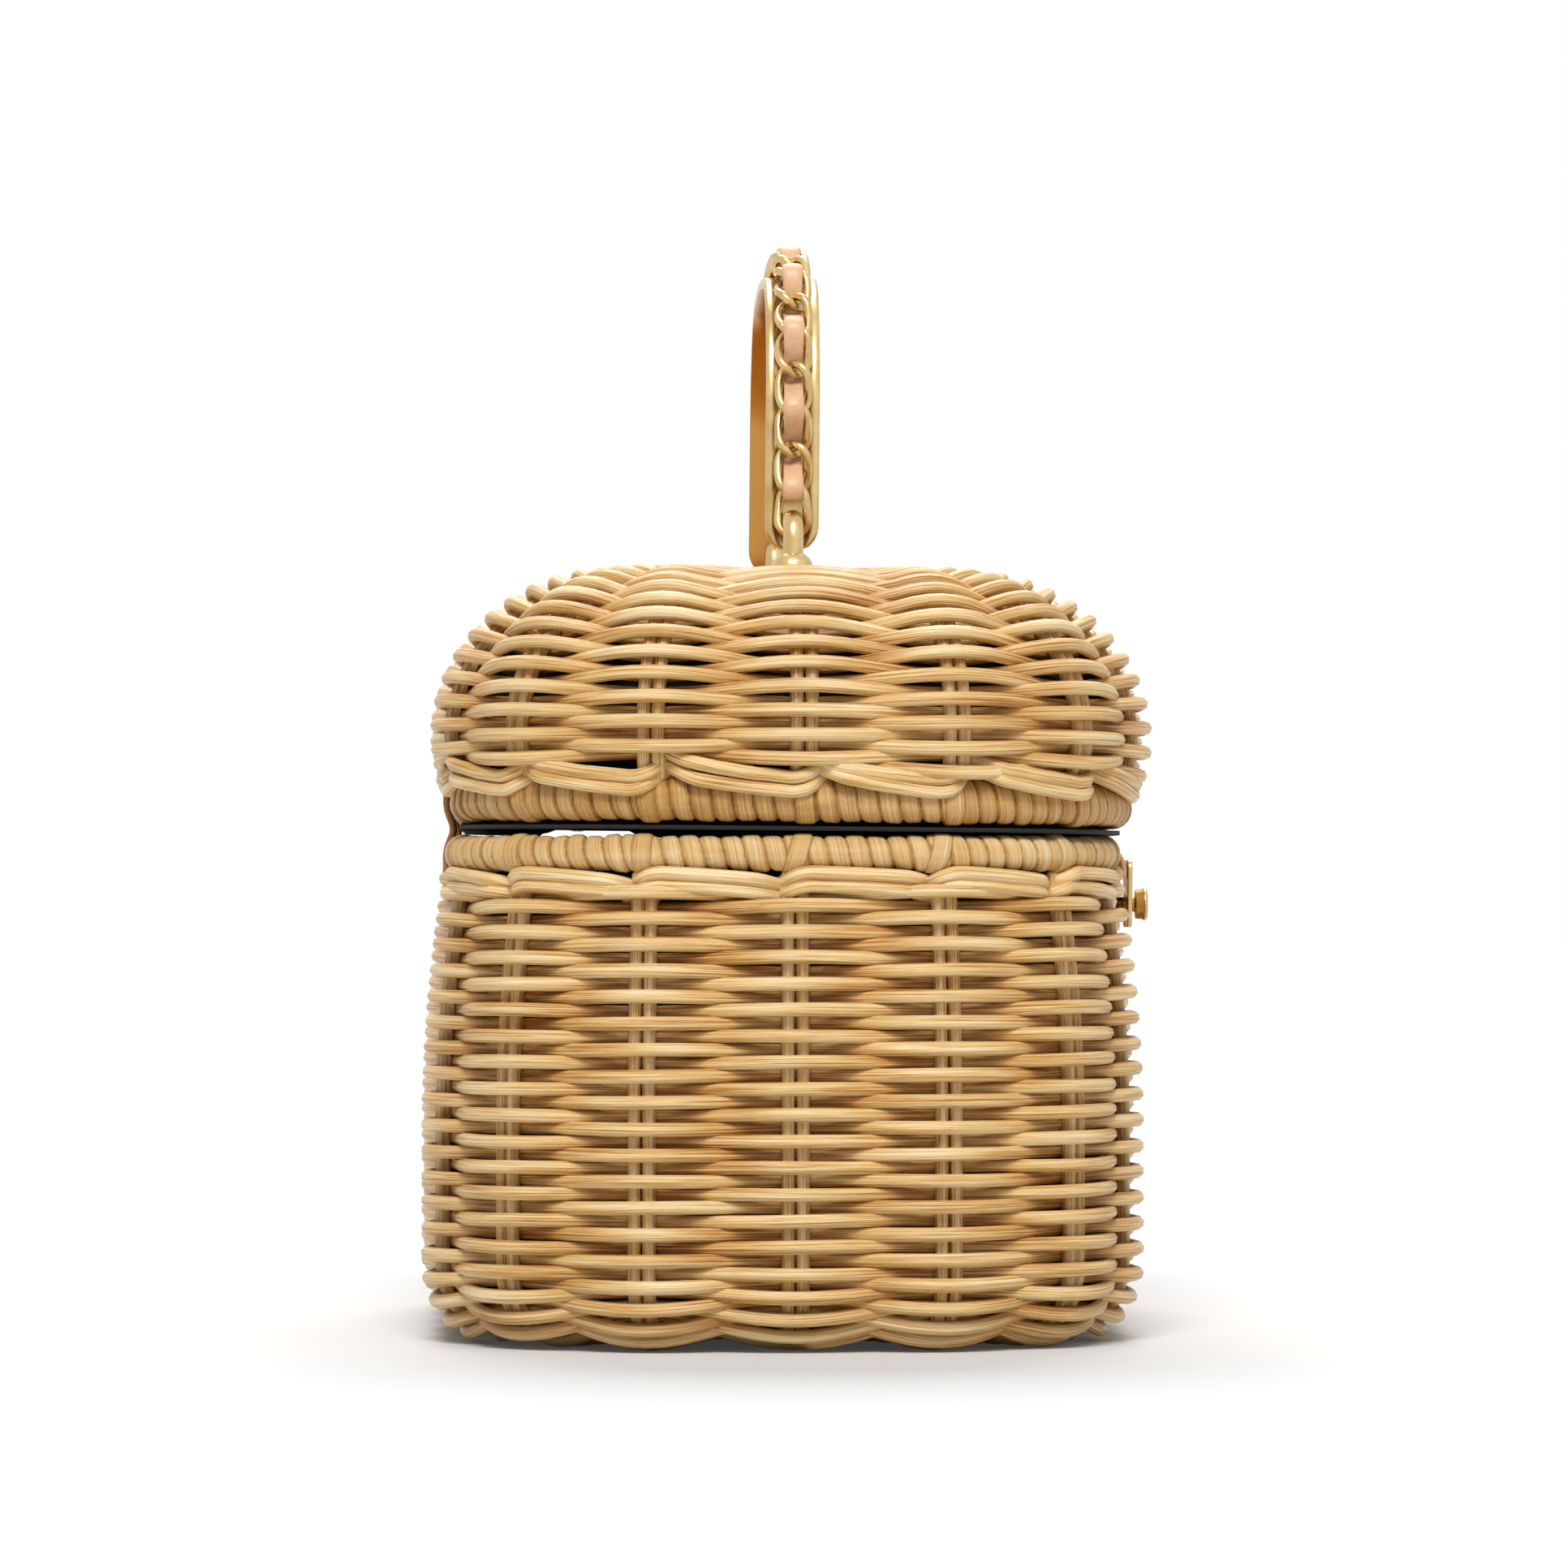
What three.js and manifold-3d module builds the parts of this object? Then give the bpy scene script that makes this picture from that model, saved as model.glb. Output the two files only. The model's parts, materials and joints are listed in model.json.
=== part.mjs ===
// Rattan vanity case: a woven case with a domed lid on leather straps, a turning brass knob with a
// leather tab at the front, and an arched brass handle with a chain and a laced leather strip.
// Millimetres, +Z up, origin at the middle of the base. -Y is the front, +X runs along the length.
import * as THREE from 'three';
import { mergeVertices } from 'three/addons/utils/BufferGeometryUtils.js';
import Module from 'manifold-3d';

const wasm = await Module();
wasm.setup();

// Overall plan
const CASE_LENGTH = 220;
const CASE_DEPTH = 140;
const CORNER_RADIUS = 51;
const CORNER_STEPS = 6;
const GAP = 0.3;
const TURNED_SIDES = 20;

// Body wall: two layers of weavers with the stakes standing in the slot between them
const BODY_HEIGHT = 90;
const EDGE_INSET = 12;
const EDGE_HEIGHT = 15;
const EDGE_STEPS = 4;
const BELLY_HEIGHT = 40;
const NECK_INSET = 4.1;
const SIDE_STEPS = 3;
const LAYER = 2.9;
const ROW_PITCH = 2.48;
const WEAVE_RELIEF = 2;
const BODY_FIRST_ROW = 1.4;
const LID_FIRST_ROW = 4.6;
const PLAIN_EDGE = 3;
const SKIN_STEPS = 12;
const STAKE_THICKNESS = 1.6;
const SLOT_CLEARANCE = 0.4;
const STAKE_PAIRS = 21;
const CLASP_PAIR = 5;
const STAKE_PAIR_WIDTH = 5.4;
const STAKE_RING = 2;
const RING_INSET = 0.4;
const NOTCH_DEPTH = 2;
const LINING = 0.8;

// Cane-wrapped rims
const RIM_RADIUS = 3.4;
const BODY_RIM_INSET = 8.4;
const LID_RIM_INSET = 7.7;
const RIM_SIDES = 8;

// Lid
const LID_BACK_GAP = 3;
const LID_TILT_DEGREES = 0.5;
const LID_FORWARD = 1.5;
const LID_SKIRT = 9.5;
const LID_SKIRT_INSET = 2;
const LID_SHOULDER = 36;
const LID_RISE = 33;
const LID_STEPS = 5;
const LID_SLOT_STEPS = 3;
const CROWN_RISE = 1.8;
const LID_SLOT_TURN = 60;
const LID_STAKE_TURN = 57;

// Hinge straps
const STRAP_WIDTH = 15;
const STRAP_THICKNESS = 1.4;
const STRAP_FROM_CORNER = 11;
const STRAP_TAIL = 12;
const HINGE_HALF_GAP = 1;
const RIVET_HEAD_RADIUS = 2.4;
const RIVET_CROWN_RADIUS = 1.7;
const RIVET_HEAD_HEIGHT = 1;
const RIVET_SHANK_RADIUS = 1.2;

// Knob, tab and fork
const KNOB_BELOW_EDGE = 6;
const KNOB_RADIUS = 3.3;
const KNOB_WAIST_RADIUS = 2.9;
const KNOB_WAIST = 1.4;
const KNOB_LIP = 1.9;
const KNOB_FACE_RADIUS = 3;
const KNOB_HEAD = 2.5;
const KNOB_PLAY = 0.9;
const SHANK_RADIUS = 1.5;
const NECK_WIDE = 3.2;
const NECK_NARROW = 2.2;
const CLASP_BASE_RADIUS = 5;
const CLASP_FACE_RADIUS = 4;
const CLASP_BASE = 1.6;
const BACKPLATE_WIDTH = 6.4;
const BACKPLATE_HEIGHT = 10;
const BACKPLATE = 1.6;
const TAB_WIDTH = 16;
const TAB_THICKNESS = 1.2;
const TAB_LAP = 3.6;
const FORK_THICKNESS = 1;
const FORK_WIDTH = 12;
const FORK_BELOW = 4.6;
const FORK_CLEARANCE = 0.35;

// Handle band, hung on a staple at each end
const HANDLE_SPAN = 112;
const BAND_WIDTH = 10.4;
const BAND_THICKNESS = 1.6;
const BAND_RAIL_WIDTH = 1.3;
const BAND_RAIL_HEIGHT = 0.6;
const BEND_RADIUS = 26;
const CROWN_SLOPE_DEGREES = 6.8;
const HANDLE_LEG = 22.5;
const PIVOT_ABOVE_LID = 7.4;
const STAPLE_RADIUS = 1.7;
const STAPLE_INSIDE = 6.2;
const STAPLE_OUTSIDE = 8.5;
const STAPLE_BEND = 4;
const STAPLE_STEPS = 26;
const STAPLE_QUARTER_SIDES = 4;
const BELL_RADIUS = 3.9;
const BELL_FOOT = 0.9;
const BELL_WAIST_RADIUS = 2.95;
const BELL_WAIST_HEIGHT = 1.45;
const BELL_LIP_HEIGHT = 2.55;
const BELL_HEIGHT = 3.2;
const BELL_WALL = 0.8;
const BELL_SIDES = 12;
const PLATE_THICKNESS = 1.2;
const PLATE_WIDTH = 8;
const PLATE_OVERHANG = 4;
const PEEN_RADIUS = 2.6;
const PEEN_HEIGHT = 1;

// Chain and laced strip
const LINK_COUNT = 26;
const LINK_WIRE = 1.6;
const LINK_WIDTH = 7.4;
const LINK_HOOK = 2;
const LINK_STEPS = 12;
const LINK_SIDES = 5;
const LINK_ROLL_DEGREES = 45;
const CHAIN_HEIGHT = 3.6;
const LACE_WIDTH = 2.2;
const LACE_THICKNESS = 0.7;
const LACE_WAVE = 2.93;
const LACE_STEPS = 4;
const LACE_END = 4;

// Sizes that follow from the ones above
const HALF_LENGTH = CASE_LENGTH / 2;
const HALF_DEPTH = CASE_DEPTH / 2;
const CORNER_X = HALF_LENGTH - CORNER_RADIUS;
const CORNER_Y = HALF_DEPTH - CORNER_RADIUS;
const SLOT_OUTER = LAYER;
const SLOT_INNER = LAYER + STAKE_THICKNESS + 2 * SLOT_CLEARANCE;
const WALL = SLOT_INNER + LAYER;
const KNOB_HEIGHT = BODY_HEIGHT - KNOB_BELOW_EDGE;
const BODY_RIM_Z = BODY_HEIGHT + GAP + RIM_RADIUS;
const BODY_RIM_TOP = BODY_RIM_Z + RIM_RADIUS;
const LID_RIM_Z = BODY_RIM_TOP + LID_BACK_GAP + RIM_RADIUS;
const LID_EDGE = LID_RIM_Z + RIM_RADIUS + GAP;
const LID_BELLY = LID_EDGE + LID_SKIRT;
const LID_TOP = LID_BELLY + LID_RISE;
const LID_LINING_OFFSET = WALL + PLATE_THICKNESS + PEEN_HEIGHT + 5 * GAP;
const STRAP_FACE_Y = HALF_DEPTH - BODY_RIM_INSET + RIM_RADIUS + GAP;
const HINGE_Y = STRAP_FACE_Y + STRAP_THICKNESS / 2;
const HINGE_Z = BODY_RIM_TOP + LID_BACK_GAP / 2;
const LID_TILT = THREE.MathUtils.degToRad(LID_TILT_DEGREES);
const PIVOT_Z = LID_TOP + CROWN_RISE + PIVOT_ABOVE_LID;
const LEG_X = HANDLE_SPAN / 2;
const CROWN_SLOPE = THREE.MathUtils.degToRad(CROWN_SLOPE_DEGREES);
const CROWN_RADIUS = (LEG_X - BEND_RADIUS) / Math.sin(CROWN_SLOPE) + BEND_RADIUS;
const BEND_Z = PIVOT_Z + HANDLE_LEG;
const CROWN_CENTRE_Z = BEND_Z - (CROWN_RADIUS - BEND_RADIUS) * Math.cos(CROWN_SLOPE);
const LINK_ROLL = THREE.MathUtils.degToRad(LINK_ROLL_DEGREES);

// Finishes
const finish = (color, roughness, metalness = 0) =>
  new THREE.MeshStandardMaterial({ color, roughness, metalness });
const RATTAN = finish('#d3aa68', 0.55);
const CANE = finish('#dcb777', 0.5);
const BRASS = finish('#c9a45c', 0.32, 1);
const PALE_LEATHER = finish('#ddb38c', 0.6);
const TAN_LEATHER = finish('#a9713c', 0.6);
const LINING_CLOTH = finish('#2b2320', 0.9);

// Closed, merged geometry with its faces pointing out
function closed(geometry) {
  const bare = geometry.clone();
  bare.deleteAttribute('normal');
  bare.deleteAttribute('uv');
  const merged = mergeVertices(bare, 1e-4);
  const source = merged.index.array;
  const kept = [];
  for (let i = 0; i < source.length; i += 3) {
    const [a, b, c] = [source[i], source[i + 1], source[i + 2]];
    if (a !== b && b !== c && c !== a) kept.push(a, b, c);
  }
  const p = merged.attributes.position;
  const corners = [new THREE.Vector3(), new THREE.Vector3(), new THREE.Vector3()];
  let volume = 0;
  for (let i = 0; i < kept.length; i += 3) {
    corners.forEach((corner, k) => corner.fromBufferAttribute(p, kept[i + k]));
    volume += corners[0].dot(corners[1].cross(corners[2]));
  }
  if (volume < 0) kept.reverse();
  merged.setIndex(kept);
  return merged;
}

function solidOf(geometry) {
  const source = closed(geometry);
  return new wasm.Manifold(new wasm.Mesh({
    numProp: 3,
    vertProperties: new Float32Array(source.attributes.position.array),
    triVerts: new Uint32Array(source.index.array),
  }));
}

function geometryOf(solid) {
  const mesh = solid.getMesh();
  const geometry = new THREE.BufferGeometry();
  geometry.setAttribute('position', new THREE.BufferAttribute(mesh.vertProperties, 3));
  geometry.setIndex(new THREE.BufferAttribute(mesh.triVerts, 1));
  return geometry;
}

function cut(geometry, ...tools) {
  return geometryOf(tools.reduce((solid, tool) => solid.subtract(solidOf(tool)), solidOf(geometry)));
}

function join(...pieces) {
  return geometryOf(pieces.map(solidOf).reduce((solid, piece) => solid.add(piece)));
}

// The plan is a rounded rectangle, drawn in by an inset. Its corner points are numbered all the way round.
const PLAN_POINTS = 4 * (CORNER_STEPS + 1);

function planVertex(index, inset) {
  const wrapped = ((index % PLAN_POINTS) + PLAN_POINTS) % PLAN_POINTS;
  const corner = Math.floor(wrapped / (CORNER_STEPS + 1));
  const step = wrapped % (CORNER_STEPS + 1);
  const angle = (corner + step / CORNER_STEPS) * Math.PI / 2;
  const signX = corner === 0 || corner === 3 ? 1 : -1;
  const signY = corner < 2 ? 1 : -1;
  const radius = CORNER_RADIUS - inset;
  return new THREE.Vector2(
    signX * CORNER_X + radius * Math.cos(angle),
    signY * CORNER_Y + radius * Math.sin(angle),
  );
}

function planPoint(place, inset) {
  const index = Math.floor(place);
  return planVertex(index, inset).lerp(planVertex(index + 1, inset), place - index);
}

// Place on the plan, as a fraction of its numbered points, at a distance walked round the stake line
function planPlace(distance) {
  const lengths = [];
  for (let i = 0; i < PLAN_POINTS; i += 1) {
    lengths.push(planVertex(i, SLOT_OUTER).distanceTo(planVertex(i + 1, SLOT_OUTER)));
  }
  const round = lengths.reduce((sum, length) => sum + length);
  let left = ((distance % round) + round) % round;
  let index = 0;
  while (left > lengths[index]) {
    left -= lengths[index];
    index += 1;
  }
  return { place: index + left / lengths[index], round };
}

// Distance round the stake line to a numbered point of the plan
function planPlaceDistance(index) {
  let distance = 0;
  for (let i = 0; i < index; i += 1) {
    distance += planVertex(i, SLOT_OUTER).distanceTo(planVertex(i + 1, SLOT_OUTER));
  }
  return distance;
}

// Distance round the stake line to a pair of stakes. Pair 0 is by the middle of the -X end, and one pair
// stands just clear of the clasp's backing plate, in the middle of the front.
function stakeDistance(pair) {
  const frontMiddle = planPlaceDistance(3 * (CORNER_STEPS + 1)) - CORNER_X;
  const claspPair = frontMiddle - (BACKPLATE_WIDTH + STAKE_PAIR_WIDTH) / 2 - GAP;
  return claspPair + (pair - CLASP_PAIR) * planPlace(0).round / STAKE_PAIRS;
}

// Point of a section at a distance along it, pushed in by a depth square to it
function alongSection(line, distance, depth) {
  let index = 0;
  let left = distance;
  while (index < line.length - 2 && left > line[index].distanceTo(line[index + 1])) {
    left -= line[index].distanceTo(line[index + 1]);
    index += 1;
  }
  const way = line[index + 1].clone().sub(line[index]).normalize();
  const point = line[index].clone().addScaledVector(way, left);
  return [point.x + way.y * depth, point.y - way.x * depth];
}

// Solid with a woven skin: rows climb the section like a screw, one row in each turn round the plan. A row
// stands out where it passes outside a pair of stakes, and it is drawn in elsewhere.
function wovenSolid(section, firstRow, plainEnd, caps) {
  const line = section.map(([inset, z]) => new THREE.Vector2(inset, z));
  const length = line.slice(1).reduce((sum, point, i) => sum + point.distanceTo(line[i]), 0);
  const columns = 2 * STAKE_PAIRS;
  const places = Array.from({ length: columns }, (_, c) => planPlace(stakeDistance(c / 2)).place);
  const positions = [];
  const addRing = (distanceAt, isOver) => places.forEach((place, c) => {
    const distance = THREE.MathUtils.clamp(distanceAt(c), PLAIN_EDGE, length - plainEnd);
    const plain = distance !== distanceAt(c);
    const [inset, z] = alongSection(line, distance, plain || isOver(c) ? 0 : WEAVE_RELIEF);
    const point = planPoint(place, inset);
    positions.push(point.x, point.y, z);
  });
  const addEdge = (distance) => places.forEach((place) => {
    const [inset, z] = alongSection(line, distance, 0);
    const point = planPoint(place, inset);
    positions.push(point.x, point.y, z);
  });
  addEdge(0);
  const lowest = -1 - Math.max(Math.ceil((firstRow - PLAIN_EDGE) / ROW_PITCH), 0);
  const highest = 1 + Math.ceil((length - firstRow) / ROW_PITCH);
  for (let row = lowest; row <= highest; row += 1) {
    addRing((c) => firstRow + (row + c / columns) * ROW_PITCH, (c) => c % 2 === 0 && (row + c / 2) % 2 === 0);
  }
  addEdge(length);
  const last = positions.length / 3 / columns - 1;
  positions.push(0, 0, caps[0], 0, 0, caps[1]);
  const [foot, top] = [(last + 1) * columns, (last + 1) * columns + 1];
  const index = [];
  for (let ring = 0; ring < last; ring += 1) {
    for (let c = 0; c < columns; c += 1) {
      // The end of a row meets the start of the next one
      const climbs = c === columns - 1 && ring > 0 && ring < last - 1;
      const right = (c + 1) % columns;
      const near = climbs ? ring + 1 : ring;
      const far = Math.min(near + 1, climbs ? last - 1 : last);
      const [a, b] = [ring * columns + c, near * columns + right];
      const [d, e] = [(ring + 1) * columns + c, far * columns + right];
      index.push(a, b, e, a, e, d);
    }
  }
  for (let c = 0; c < columns; c += 1) {
    const right = (c + 1) % columns;
    index.push(foot, right, c, top, last * columns + c, last * columns + right);
  }
  const geometry = new THREE.BufferGeometry();
  geometry.setAttribute('position', new THREE.Float32BufferAttribute(positions, 3));
  geometry.setIndex(index);
  return closed(geometry);
}

// Surface through the plan at each [inset, z] of a section, closed on itself or by a point at each end
function sweptPlan(section, caps = null) {
  const positions = [];
  const index = [];
  section.forEach(([inset, z]) => {
    for (let i = 0; i < PLAN_POINTS; i += 1) {
      const point = planVertex(i, inset);
      positions.push(point.x, point.y, z);
    }
  });
  const bands = caps ? section.length - 1 : section.length;
  for (let ring = 0; ring < bands; ring += 1) {
    const next = (ring + 1) % section.length;
    for (let i = 0; i < PLAN_POINTS; i += 1) {
      const j = (i + 1) % PLAN_POINTS;
      const [a, b] = [ring * PLAN_POINTS + i, ring * PLAN_POINTS + j];
      const [c, d] = [next * PLAN_POINTS + j, next * PLAN_POINTS + i];
      index.push(a, b, c, a, c, d);
    }
  }
  if (caps) {
    const first = section.length * PLAN_POINTS;
    const lastRing = (section.length - 1) * PLAN_POINTS;
    positions.push(0, 0, caps[0], 0, 0, caps[1]);
    for (let i = 0; i < PLAN_POINTS; i += 1) {
      const j = (i + 1) % PLAN_POINTS;
      index.push(first, j, i, first + 1, lastRing + i, lastRing + j);
    }
  }
  const geometry = new THREE.BufferGeometry();
  geometry.setAttribute('position', new THREE.Float32BufferAttribute(positions, 3));
  geometry.setIndex(index);
  return closed(geometry);
}

// Body section: rounded lower edge, widest at the belly, drawn in at the top
function bellyInset(z) {
  const above = Math.max(z - BELLY_HEIGHT, 0) / (BODY_HEIGHT - BELLY_HEIGHT);
  return NECK_INSET * above * above;
}

function bodySide(offset, low, high, steps = SIDE_STEPS) {
  const points = [];
  for (let i = 0; i <= steps; i += 1) {
    const z = THREE.MathUtils.lerp(low, high, i / steps);
    points.push([offset + bellyInset(z), z]);
  }
  return points;
}

function bodyProfile(offset, high, edgeSteps = EDGE_STEPS, sideSteps = SIDE_STEPS) {
  const edge = [];
  for (let i = 0; i < edgeSteps; i += 1) {
    const turn = (i / edgeSteps) * Math.PI / 2;
    edge.push([
      EDGE_INSET - (EDGE_INSET - offset) * Math.sin(turn),
      EDGE_HEIGHT - (EDGE_HEIGHT - offset) * Math.cos(turn),
    ]);
  }
  return [...edge, ...bodySide(offset, EDGE_HEIGHT, high, sideSteps)];
}

// Lid section: a short skirt that swells outwards, then a quarter ellipse up to the crown
function lidSkirt(offset, low) {
  const inset = (z) => offset + LID_SKIRT_INSET * ((LID_BELLY - z) / LID_SKIRT) ** 2;
  const middle = (low + LID_BELLY) / 2;
  return [[inset(low), low], [inset(middle), middle]];
}

function lidShoulder(offset, turnDegrees, steps) {
  const points = [];
  for (let i = 0; i <= steps; i += 1) {
    const turn = THREE.MathUtils.degToRad(turnDegrees * i / steps);
    points.push([
      LID_SHOULDER - (LID_SHOULDER - offset) * Math.cos(turn),
      LID_BELLY + (LID_RISE - offset) * Math.sin(turn),
    ]);
  }
  return points;
}

function lidProfile(offset, low, turnDegrees = 90, steps = LID_STEPS) {
  return [...lidSkirt(offset, low), ...lidShoulder(offset, turnDegrees, steps)];
}

// Height of the lid's crown at a place along the length, at a depth below its outer face
function crownHeight(x, offset = 0) {
  return LID_TOP - offset + CROWN_RISE * (1 - Math.abs(x) / (HALF_LENGTH - LID_SHOULDER));
}

function box(width, depth, height, x, y, z) {
  return new THREE.BoxGeometry(width, depth, height).translate(x, y, z);
}

function rod(radius, length, sides = 16) {
  return new THREE.CylinderGeometry(radius, radius, length, sides);
}

const uprightRod = (radius, length, sides) => rod(radius, length, sides).rotateX(Math.PI / 2);
const crossRod = (radius, length, sides) => rod(radius, length, sides).rotateZ(Math.PI / 2);

// A strip of even thickness along points of [y, z], as wide as given along X
function strip(points, thickness, width) {
  const line = points.map(([y, z]) => new THREE.Vector2(y, z));
  const normals = line.map((point, i) => {
    const before = line[Math.max(i - 1, 0)].clone();
    const after = line[Math.min(i + 1, line.length - 1)].clone();
    const into = i > 0 ? point.clone().sub(before).normalize() : null;
    const out = i < line.length - 1 ? after.sub(point).normalize() : null;
    const a = into ?? out;
    const b = out ?? into;
    const mitre = new THREE.Vector2(-a.y - b.y, a.x + b.x).normalize();
    return mitre.multiplyScalar(thickness / 2 / mitre.dot(new THREE.Vector2(-a.y, a.x)));
  });
  const left = line.map((point, i) => point.clone().add(normals[i]));
  const right = line.map((point, i) => point.clone().sub(normals[i])).reverse();
  const shape = new THREE.Shape([...left, ...right]);
  const geometry = new THREE.ExtrudeGeometry(shape, { depth: width, bevelEnabled: false });
  const turn = new THREE.Matrix4().makeBasis(
    new THREE.Vector3(0, 1, 0),
    new THREE.Vector3(0, 0, 1),
    new THREE.Vector3(1, 0, 0),
  );
  return geometry.translate(0, 0, -width / 2).applyMatrix4(turn);
}

function piece(name, geometry, material) {
  const mesh = new THREE.Mesh(closed(geometry), material);
  mesh.name = name;
  return mesh;
}

// Ribs standing in the slot, one for each pair of stakes, joined by a ring
function stakes(name, ribProfile, ring) {
  const inner = SLOT_OUTER + SLOT_CLEARANCE + STAKE_THICKNESS;
  const outer = SLOT_OUTER + SLOT_CLEARANCE;
  const ribs = [];
  for (let pair = 0; pair < STAKE_PAIRS; pair += 1) {
    const sides = [-1, 1].map((side) => planPlace(stakeDistance(pair) + side * STAKE_PAIR_WIDTH / 2).place);
    ribs.push(rib(sides, ribProfile(outer), ribProfile(inner)));
  }
  return piece(name, join(ring(outer + RING_INSET, inner - RING_INSET), ...ribs), RATTAN);
}

function rib([left, right], outside, inside) {
  const positions = [];
  const index = [];
  outside.forEach((outerPoint, row) => {
    const corners = [[left, outerPoint], [right, outerPoint], [right, inside[row]], [left, inside[row]]];
    corners.forEach(([place, [inset, z]]) => {
      const point = planPoint(place, inset);
      positions.push(point.x, point.y, z);
    });
  });
  const rows = outside.length;
  for (let row = 0; row < rows - 1; row += 1) {
    for (let side = 0; side < 4; side += 1) {
      const next = (side + 1) % 4;
      const [a, b] = [row * 4 + side, row * 4 + next];
      index.push(a, b, b + 4, a, b + 4, a + 4);
    }
  }
  const last = (rows - 1) * 4;
  index.push(0, 2, 1, 0, 3, 2, last, last + 1, last + 2, last, last + 2, last + 3);
  const geometry = new THREE.BufferGeometry();
  geometry.setAttribute('position', new THREE.Float32BufferAttribute(positions, 3));
  geometry.setIndex(index);
  return geometry;
}

function wrappedRim(name, inset, z) {
  const section = [];
  for (let i = 0; i < RIM_SIDES; i += 1) {
    const turn = (i / RIM_SIDES) * 2 * Math.PI;
    section.push([inset + RIM_RADIUS * Math.cos(turn), z + RIM_RADIUS * Math.sin(turn)]);
  }
  return piece(name, sweptPlan(section), CANE);
}

const strapSides = [-1, 1].map((side) => (
  { x: side * (CORNER_X - STRAP_FROM_CORNER), number: side < 0 ? 1 : 2 }));

// Body
const NOTCH_LOW = BODY_HEIGHT - NOTCH_DEPTH;
const STAKE_TOP = NOTCH_LOW - 2 * GAP;
const BODY_LINING_TOP = NOTCH_LOW - GAP;
const FRONT_FACE_Y = -(HALF_DEPTH - bellyInset(KNOB_HEIGHT));

function sideWeave() {
  const over = BODY_HEIGHT + GAP;
  const skin = bodyProfile(0, BODY_HEIGHT, SKIN_STEPS, SKIN_STEPS);
  const block = wovenSolid(skin, BODY_FIRST_ROW, PLAIN_EDGE, [0, BODY_HEIGHT]);
  const slot = sweptPlan([
    [SLOT_OUTER + NECK_INSET, over], ...bodySide(SLOT_OUTER, EDGE_HEIGHT, BODY_HEIGHT).reverse(),
    ...bodySide(SLOT_INNER, EDGE_HEIGHT, BODY_HEIGHT), [SLOT_INNER + NECK_INSET, over],
  ]);
  const inside = [[EDGE_INSET, -GAP], ...bodyProfile(WALL, BODY_HEIGHT), [WALL + NECK_INSET, over]];
  const hollow = sweptPlan(inside, [-GAP, over]);
  const notches = strapSides.map(({ x }) =>
    box(STRAP_WIDTH + 2 * GAP, 2 * WALL, 2 * NOTCH_DEPTH, x, HALF_DEPTH - WALL, BODY_HEIGHT));
  const shankHole = rod(SHANK_RADIUS + GAP, 2 * SLOT_INNER - STAKE_THICKNESS)
    .translate(0, FRONT_FACE_Y, KNOB_HEIGHT);
  return piece('side_weave', cut(block, hollow, slot, ...notches, shankHole), RATTAN);
}

function baseWeave() {
  const rim = EDGE_INSET + GAP;
  return piece('base_weave', sweptPlan([[rim, 0], [rim, WALL]], [0, WALL]), RATTAN);
}

function bodyStakes() {
  const low = EDGE_HEIGHT + GAP;
  const profile = (offset) => bodySide(offset, low, STAKE_TOP);
  const ring = (outer, inner) => sweptPlan([
    [outer, low + STAKE_RING], [inner, low + STAKE_RING], [inner, low + GAP], [outer, low + GAP],
  ]);
  return stakes('body_stakes', profile, ring);
}

function bodyLining() {
  const outside = WALL + GAP;
  const inside = outside + LINING;
  const floor = EDGE_HEIGHT - (EDGE_HEIGHT - outside);
  const section = [
    ...bodyProfile(outside, BODY_LINING_TOP), ...bodyProfile(inside, BODY_LINING_TOP).reverse(),
  ];
  const holes = strapSides.map(({ x }) =>
    rod(RIVET_SHANK_RADIUS + GAP, 2 * WALL).translate(x, HALF_DEPTH - WALL, lowerRivetZ()));
  return piece('body_lining', cut(sweptPlan(section, [floor, floor + LINING]), ...holes), LINING_CLOTH);
}

// Each strap comes through the wall beside its rim and runs down, or up, the lining inside
const lowerRivetZ = () => BODY_LINING_TOP - STRAP_TAIL / 2;
const upperRivetZ = () => LID_EDGE + NOTCH_DEPTH + STRAP_TAIL / 2;
const lowerTailY = (z) => HALF_DEPTH - bellyInset(z) - WALL - LINING - 2 * GAP - STRAP_THICKNESS / 2;

function lowerStrap({ x, number }) {
  const runZ = BODY_HEIGHT - NOTCH_DEPTH + GAP + STRAP_THICKNESS / 2;
  const tailTop = lowerTailY(runZ);
  const tailLow = BODY_LINING_TOP - STRAP_TAIL;
  const path = [
    [HINGE_Y, HINGE_Z - HINGE_HALF_GAP], [HINGE_Y, runZ], [tailTop, runZ], [lowerTailY(tailLow), tailLow],
  ];
  const hole = rod(RIVET_SHANK_RADIUS + GAP, 3 * STRAP_THICKNESS)
    .translate(0, lowerTailY(lowerRivetZ()), lowerRivetZ());
  const leather = cut(strip(path, STRAP_THICKNESS, STRAP_WIDTH), hole);
  const strap = piece(`hinge_strap_lower_${number}`, leather, TAN_LEATHER);
  strap.position.x = x;
  return strap;
}

// Flat-headed rivet: the head faces -Y, the shank points to +Y from the strap's face
function rivet(name, shankLength) {
  const profile = [
    [0, -RIVET_HEAD_HEIGHT], [RIVET_CROWN_RADIUS, -RIVET_HEAD_HEIGHT],
    [RIVET_HEAD_RADIUS, -RIVET_HEAD_HEIGHT / 2], [RIVET_HEAD_RADIUS, 0],
    [RIVET_SHANK_RADIUS, 0], [RIVET_SHANK_RADIUS, shankLength], [0, shankLength],
  ].map(([r, y]) => new THREE.Vector2(r, y));
  return piece(name, new THREE.LatheGeometry(profile, 12), BRASS);
}

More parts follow.
